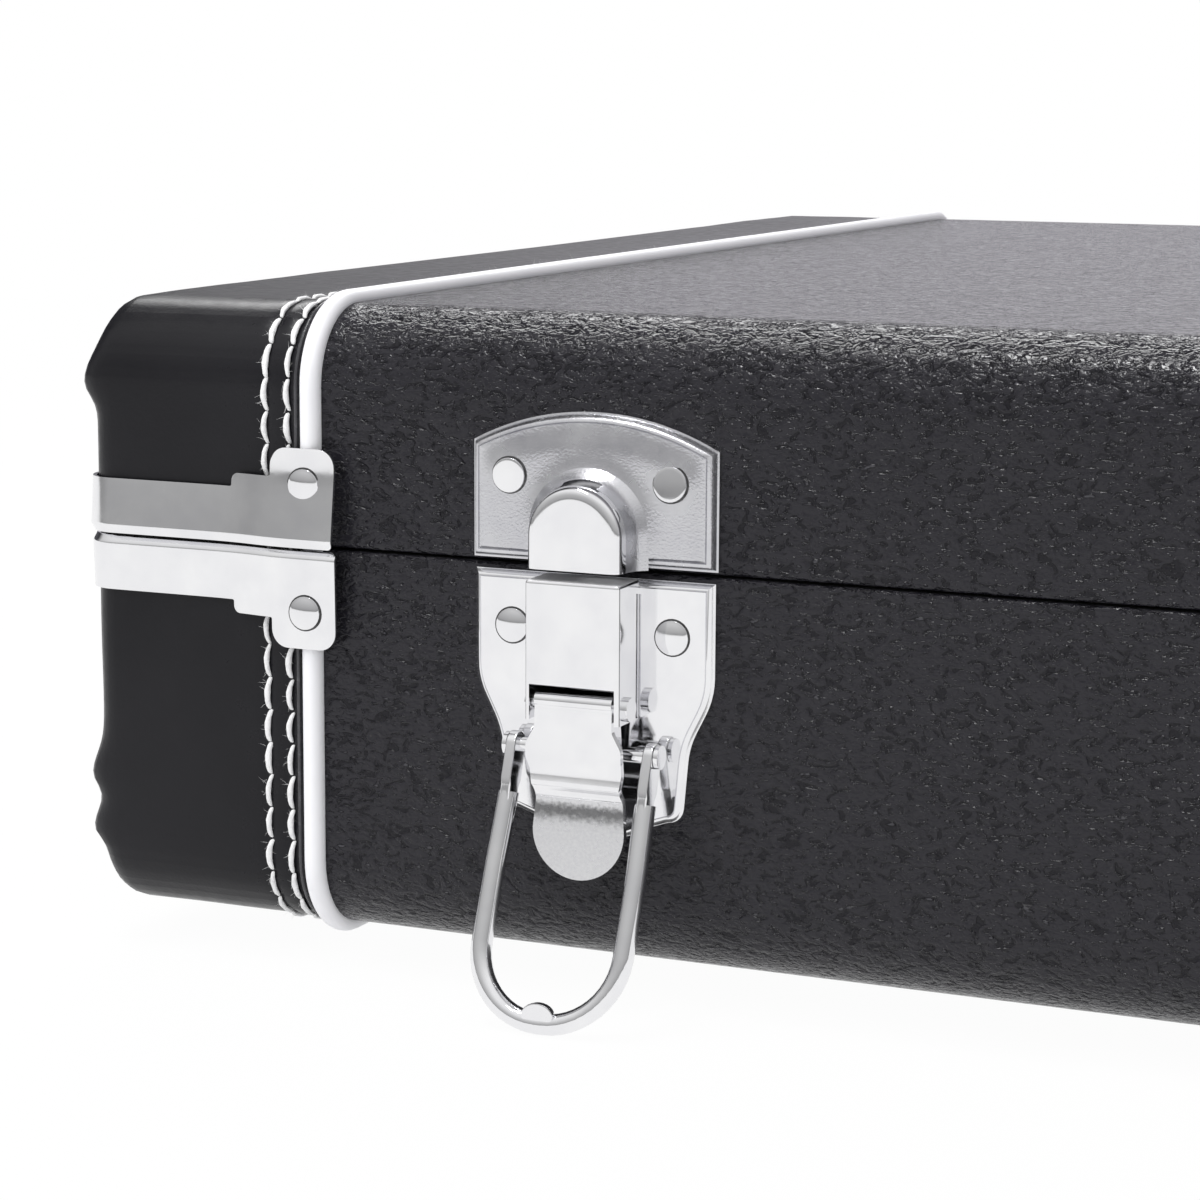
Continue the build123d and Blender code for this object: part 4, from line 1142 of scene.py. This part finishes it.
# the flat sheet's place on the case, in millimetres; the back is the front's mirror image
def bendRound(s, off, across, corner, side):
    r = stripValues["endRound"]
    front, back = caseFront / mm, caseBack / mm
    near = min(s, 2 * corner + across - s)
    angle = min(max(near / r, 0.0), math.pi / 2)
    x = endX[side] / mm + outwardX[side] * (min(near, 0.0) - r + (r + off) * math.sin(angle))
    y = front + r - (r + off) * math.cos(angle) + max(near - corner, 0.0)
    return x, y if near == s else front + back - y


def edgeStrip(side, half):
    v = stripValues
    outline, start, end, across, corner = stripFlat()
    bm = bmesh.new()
    flatFace(bm, outline)
    for z in v["sliceZ"]:
        cutAt(bm, 2, z)
    bends = [corner * step / v["bends"] for step in range(v["bends"] + 1)]
    tabs = [start + v["sliceS"] * step for step in range(1, v["slicesS"] + 1)]
    for s in bends + [corner + across + b for b in bends] + tabs + [across + 2 * corner - t for t in tabs]:
        cutAt(bm, 0, s)
    for vert in bm.verts:
        s, rise = vert.co.x, vert.co.z
        x, y = bendRound(s, stripStandOff(s, rise, start, end, half), across, corner, side)
        vert.co = Vector((x, y, rimZ[half] / mm + awayZ[half] * rise)) * mm
    bmesh.ops.recalc_face_normals(bm, faces=bm.faces)
    if sum(f.normal.x * outwardX[side] * f.calc_area() for f in bm.faces) < 0:
        bmesh.ops.reverse_faces(bm, faces=bm.faces)
    piece = finishPiece(bm, f"{half}Strip{side.capitalize()}", nickel, half,
                        f"{half}_edge_strip_{side}", weld=False)
    giveWall(piece, "sheet", v["sheet"], -1)
    edge = piece.modifiers.new("edge", "BEVEL")
    edge.width, edge.segments, edge.limit_method = v["edgeBevel"] * mm, 2, "ANGLE"
    edge.angle_limit = math.radians(50)
    evenNormals(piece)


for side in sides:
    for half in halves:
        edgeStrip(side, half)
print("edge strips made")


# handle grip: fuller in the hand, with a collar at each end and a moulding line underneath
gripValues = {"ends": 0.86, "fullness": 0.7, "collar": 5.0, "collarDip": 0.05, "collarWide": 0.9,
              "slice": 2.0, "line": 0.175, "lineWide": 0.1, "lineFrom": 1.0}


def handleGrip():
    v = gripValues
    low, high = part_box("handle_grip")
    middle, half = (low + high) / 2, (high.x - low.x) / 2
    bm = mergedCopy("handle_grip")
    sliceAlong(bm, 0, low.x, high.x, v["slice"] * mm)
    cutAt(bm, 1, middle.y)
    for vert in bm.verts:
        along = abs(vert.co.x - middle.x) / half
        full = v["ends"] + (1 - v["ends"]) * math.cos(along * math.pi / 2) ** v["fullness"]
        fromEnd = (half - abs(vert.co.x - middle.x)) / mm
        full -= v["collarDip"] * math.exp(-((fromEnd - v["collar"]) / v["collarWide"]) ** 2)
        vert.co.y = middle.y + (vert.co.y - middle.y) * full
        vert.co.z = middle.z + (vert.co.z - middle.z) * full
        onLine = abs(vert.co.y - middle.y) < v["lineWide"] * mm and vert.co.z < middle.z
        if onLine and fromEnd > v["lineFrom"]:
            vert.co.z -= v["line"] * mm
    finishPiece(bm, "handleGrip", grip, "carry_handle", "handle_grip", 50)


# interior: plush drawn over foam pads, and plush linings glued to the wood
padValues = {"voxel": 7.0, "rounding": 5, "pressure": 4.0, "frames": 20, "most": 4.0, "topRoom": 2.5,
             "shrink": 1.2, "inside": 0.1, "restsFlat": 3.2, "rucksFrom": 6.0,
             "rucks": [(38, 0.28), (95, 0.14)]}
puffedPads = {"front_neck_pad": "frontNeckPad", "back_head_pad": "backHeadPad",
              "back_shoulder_pad": "backShoulderPad", "tail_pads": "tailPads", "neck_cradle": "neckCradle"}


def finishedMesh(holder):
    graph = bpy.context.evaluated_depsgraph_get()
    return bpy.data.meshes.new_from_object(holder.evaluated_get(graph))


# a rounded foam block ready to be blown up: an even mesh of the solid, smoothed at its edges
def startPad(node):
    v = padValues
    holder = plainObject(mergedCopy(node), "foamBlock")
    remesh = holder.modifiers.new("even", "REMESH")
    remesh.mode, remesh.voxel_size = "VOXEL", v["voxel"] * mm
    mesh = finishedMesh(holder)
    bpy.data.objects.remove(holder)
    bm = takeMesh(bmesh.new(), mesh)
    for _ in range(v["rounding"]):
        bmesh.ops.smooth_vert(bm, verts=bm.verts, factor=0.5, use_axis_x=True, use_axis_y=True,
                              use_axis_z=True)
    bm.normal_update()
    for vert in bm.verts:
        vert.co -= vert.normal * v["shrink"] * mm
    return plainObject(bm, puffedPads[node] + "Plush")


def puffUp(holders):
    v = padValues
    scene = bpy.context.scene
    scene.frame_start, scene.frame_end = 1, v["frames"]
    for holder in holders:
        cloth = holder.modifiers.new("puff", "CLOTH")
        cloth.settings.use_pressure = True
        cloth.settings.uniform_pressure_force = v["pressure"]
        cloth.settings.effector_weights.gravity = 0
        cloth.point_cache.frame_end = v["frames"]
    for number in range(1, v["frames"] + 1):
        scene.frame_set(number)
    puffed = {holder: [vert.co.copy() for vert in finishedMesh(holder).vertices] for holder in holders}
    for holder, places in puffed.items():
        holder.modifiers.clear()
        for vert, place in zip(holder.data.vertices, places):
            move = place - vert.co
            vert.co += move * min(1.0, v["most"] * mm / max(move.length, 1e-9))
    scene.frame_set(1)


# every pad keeps to the place of its foam block, except that its top may crown
def settlePad(holder, node):
    v = padValues
    low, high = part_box(node)
    inside = v["inside"] * mm
    for vert in holder.data.vertices:
        if vert.co.z < low.z + v["restsFlat"] * mm:
            vert.co.z = low.z
        for axis in range(3):
            room = v["topRoom"] * mm if axis == 2 else -inside
            vert.co[axis] = min(max(vert.co[axis], low[axis] + inside), high[axis] + room)
        if low.z + v["rucksFrom"] * mm < vert.co.z < high.z:
            vert.co.z += ripples(vert.co, v["rucks"]) * mm


def dressPad(holder, node):
    for polygon in holder.data.polygons:
        polygon.use_smooth = True
    holder.data.materials.append(plush)
    finer = holder.modifiers.new("finer", "SUBSURF")
    finer.levels = finer.render_levels = 1
    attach(holder, "base")
    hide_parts(node)


handleGrip()
pads = {node: startPad(node) for node in puffedPads}
puffUp(list(pads.values()))
for node, holder in pads.items():
    settlePad(holder, node)
    dressPad(holder, node)
print("pads made")


# linings: the plush doesn't quite reach into the corners, and lies a little unevenly
liningValues = {"corner": 4.0, "grid": 16.0, "inset": 0.6, "uneven": [(22, 0.35)], "padCorner": 2.6,
                "padCrown": 1.6, "padReach": 14.0, "padUneven": [(18, 0.7)]}
compartmentValues = {"boxRound": 1.0, "boardRound": 1.2, "ribbonSteps": 14, "ribbonThick": 0.8,
                     "ribbonAbove": 0.2, "ribbonLift": 1.2, "liftReach": 4.0}


def plushLining(node, name, body):
    v = liningValues
    low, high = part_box(node)
    bm = mergedCopy(node)
    inward = [e for e in sharpEdges(bm, 1) if not e.is_convex]
    softenEdges(bm, inward, v["corner"] * mm, 4)
    for axis in (0, 1):
        sliceAlong(bm, axis, low[axis], high[axis], v["grid"] * mm)
    bm.normal_update()
    inset = v["inset"] * mm
    for vert in bm.verts:
        if all(low[axis] + inset < vert.co[axis] < high[axis] - inset for axis in range(3)):
            vert.co += vert.normal * (ripples(vert.co, v["uneven"]) * mm)
    lining = finishPiece(bm, name, plush, body, node, 40)


# the pad in the lid: thin foam with rounded edges, its free face down
def lidPad():
    v = liningValues
    low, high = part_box("lid_pad")
    bm = mergedCopy("lid_pad")
    rim = [e for e in bm.edges if all(abs(vert.co.z - low.z) < 0.0001 for vert in e.verts)]
    softenEdges(bm, rim, v["padCorner"] * mm, 4)
    for axis in (0, 1):
        sliceAlong(bm, axis, low[axis], high[axis], v["grid"] * mm)
    for vert in bm.verts:
        inward = min(vert.co.x - low.x, high.x - vert.co.x, vert.co.y - low.y, high.y - vert.co.y)
        if vert.co.z < low.z + 0.0001:
            crown = v["padCrown"] * (1 - math.exp(-max(0.0, inward / mm - v["padCorner"]) / v["padReach"]))
            vert.co.z -= (crown + ripples(vert.co, v["padUneven"])) * mm
    pad = finishPiece(bm, "lidPadPlush", plush, "lid", "lid_pad", 50)


# the compartment's box and board with plush wrapped round their edges, and the board's ribbon tab
def compartmentPieces():
    v = compartmentValues
    bm = mergedCopy("compartment_box")
    softenEdges(bm, [e for e in sharpEdges(bm, 1) if e.is_convex], v["boxRound"] * mm, 3)
    finishPiece(bm, "compartmentBox", plush, "base", "compartment_box", 50)
    bm = mergedCopy("compartment_lid")
    softenEdges(bm, sharpEdges(bm, 1), v["boardRound"] * mm, 3)
    finishPiece(bm, "compartmentBoard", plush, "accessory_lid", "compartment_lid", 50)
    tab = finishPiece(ribbonSheet(), "pullTab", plush, "accessory_lid", "compartment_tab", 50)
    giveWall(tab, "ribbonThick", v["ribbonThick"], 1)


# the ribbon rises a little where it meets the board's edge
def ribbonSheet():
    v = compartmentValues
    low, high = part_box("compartment_tab")
    boardFront = lowOf("compartment_lid").y
    bm = bmesh.new()
    rows = []
    for index in range(v["ribbonSteps"] + 1):
        y = low.y + (high.y - low.y) * index / v["ribbonSteps"]
        lift = 0.0
        if y < boardFront:
            lift = v["ribbonLift"] * math.exp(-((y - boardFront) / (v["liftReach"] * mm)) ** 2)
        z = low.z + (v["ribbonAbove"] + lift) * mm
        rows.append([bm.verts.new((x, y, z)) for x in (low.x, (low.x + high.x) / 2, high.x)])
    for first, second in zip(rows, rows[1:]):
        for a, b, c, d in zip(first, first[1:], second[1:], second):
            bm.faces.new((a, b, c, d))
    return bm


plushLining("base_lining", "baseLiningPlush", "base")
plushLining("lid_lining", "lidLiningPlush", "lid")
lidPad()
compartmentPieces()
print("linings made")


# floor, lights and camera
stageValues = {"floorSize": 6, "floorShade": (0.86, 0.86, 0.87, 1), "floorWhite": [(0.0, 1.0), (0.35, 0.97)],
               "floorSpread": 0.8, "floorLeast": 0.30,
               "front": [(0.0, 0.27), (0.08, 0.42), (0.35, 0.60), (0.75, 0.95)],
               "side": [(0.04, (0.10, 0.10, 0.11)), (0.12, (0.40, 0.39, 0.42)), (0.22, (0.72, 0.70, 0.76)),
                        (0.4, (0.78, 0.76, 0.82))],
               "falloff": [(0.0, 1.0), (0.12, 0.95), (0.30, 0.42), (0.7, 0.30)]}


# the floor glows white for the camera and for mirrors, and lights the case as a pale matt one does
def plainFloor():
    v = stageValues
    bm = bmesh.new()
    bmesh.ops.create_grid(bm, x_segments=1, y_segments=1, size=v["floorSize"])
    floor = plainObject(bm, "floor")
    mat = bpy.data.materials.new("paleFloor")
    mat.use_nodes = True
    tree = mat.node_tree
    tree.nodes.clear()
    diffuse = addNode(tree, "BsdfDiffuse", Color=v["floorShade"]).outputs["BSDF"]
    glow = addNode(tree, "Emission", Color=(1, 1, 1, 1)).outputs["Emission"]
    rays = addNode(tree, "LightPath").outputs
    seen = mathOf(tree, "MAXIMUM", rays["Is Camera Ray"], rays["Is Glossy Ray"])
    ball = tree.nodes.new("ShaderNodeTexGradient")
    ball.gradient_type = "SPHERICAL"
    fill(tree, ball, {"Vector": objectCoords(tree, (v["floorSpread"],) * 3)})
    white = rampOf(tree, ball.outputs["Fac"], v["floorWhite"])
    share = mathOf(tree, "MAXIMUM", mathOf(tree, "MULTIPLY", seen, white), v["floorLeast"])
    mix = fill(tree, tree.nodes.new("ShaderNodeMixShader"), {"Fac": share, 1: diffuse, 2: glow})
    addNode(tree, "OutputMaterial", Surface=mix.outputs["Shader"])
    floor.data.materials.append(mat)


def softWorld():
    v = stageValues
    world = bpy.data.worlds.new("studio")
    bpy.context.scene.world = world
    world.use_nodes = True
    tree = world.node_tree
    split = splitOf(tree, addNode(tree, "TexCoord").outputs["Generated"])
    front = rampOf(tree, split["Z"], v["front"])
    side = rampOf(tree, mathOf(tree, "ADD", split["X"], 0.6), v["side"])
    behind = mixOf(tree, 1.0, side, rampOf(tree, split["Z"], v["falloff"]), "MULTIPLY")
    turned = mathOf(tree, "ADD", mathOf(tree, "MULTIPLY", split["Y"], 2.0), 0.5)
    room = mixOf(tree, rampOf(tree, turned, [(0.2, 0.0), (0.8, 1.0)]), front, behind)
    seen = addNode(tree, "LightPath").outputs["Is Camera Ray"]
    fill(tree, tree.nodes["Background"], {"Color": mixOf(tree, seen, room, (1, 1, 1, 1)), "Strength": 1.0})


def areaLight(name, place, target, size, power, mirrored=True):
    light = bpy.data.lights.new(name, "AREA")
    light.shape = "RECTANGLE"
    light.size, light.size_y = size
    light.energy = power
    lamp = bpy.data.objects.new(name, light)
    bpy.context.scene.collection.objects.link(lamp)
    lamp.location = place
    lamp.visible_glossy = mirrored
    aim = Vector(target) - Vector(place)
    lamp.rotation_euler = aim.to_track_quat("-Z", "Y").to_euler()


cameraValues = {"fromEnd": 294.76, "fromFront": -456.61, "fromBottom": 143.92, "azimuth": 23.76,
                "elevation": 9.55, "roll": 0.26, "focal": 97.0875, "sensor": 36, "nearest": 0.01}


def photoCamera():
    v = cameraValues
    data = bpy.data.cameras.new("camera")
    data.lens = v["focal"]
    data.sensor_width = v["sensor"]
    data.sensor_fit = "HORIZONTAL"
    data.clip_start = v["nearest"]
    camera = bpy.data.objects.new("camera", data)
    bpy.context.scene.collection.objects.link(camera)
    az, el, roll = (math.radians(v[key]) for key in ("azimuth", "elevation", "roll"))
    back = Vector((math.sin(az) * math.cos(el), -math.cos(az) * math.cos(el), math.sin(el)))
    right = (-back).cross(Vector((0, 0, 1))).normalized()
    up = right.cross(-back)
    right, up = (right * math.cos(roll) + up * math.sin(roll), up * math.cos(roll) - right * math.sin(roll))
    turn = Matrix((right, up, back)).transposed().to_4x4()
    corner = Vector((caseLeft, caseFront, caseBottom))
    place = corner + Vector((v["fromEnd"], v["fromFront"], v["fromBottom"])) * mm
    camera.matrix_world = Matrix.Translation(place) @ turn
    bpy.context.scene.camera = camera


plainFloor()
softWorld()
areaLight("keyLight", (-1.6, -1.8, 1.9), (-0.4, 0, 0.05), (1.6, 1.2), 24, mirrored=False)
areaLight("topLight", (-1.1, 1.6, 1.6), (-0.3, 0.0, 0.1), (1.8, 0.9), 26)
areaLight("overLight", (-0.70, -0.45, 1.7), (-0.1, -0.15, 0.1), (0.9, 0.14), 12)
photoCamera()
bpy.context.scene.view_settings.view_transform = "Standard"
print("stage, lights and camera set")
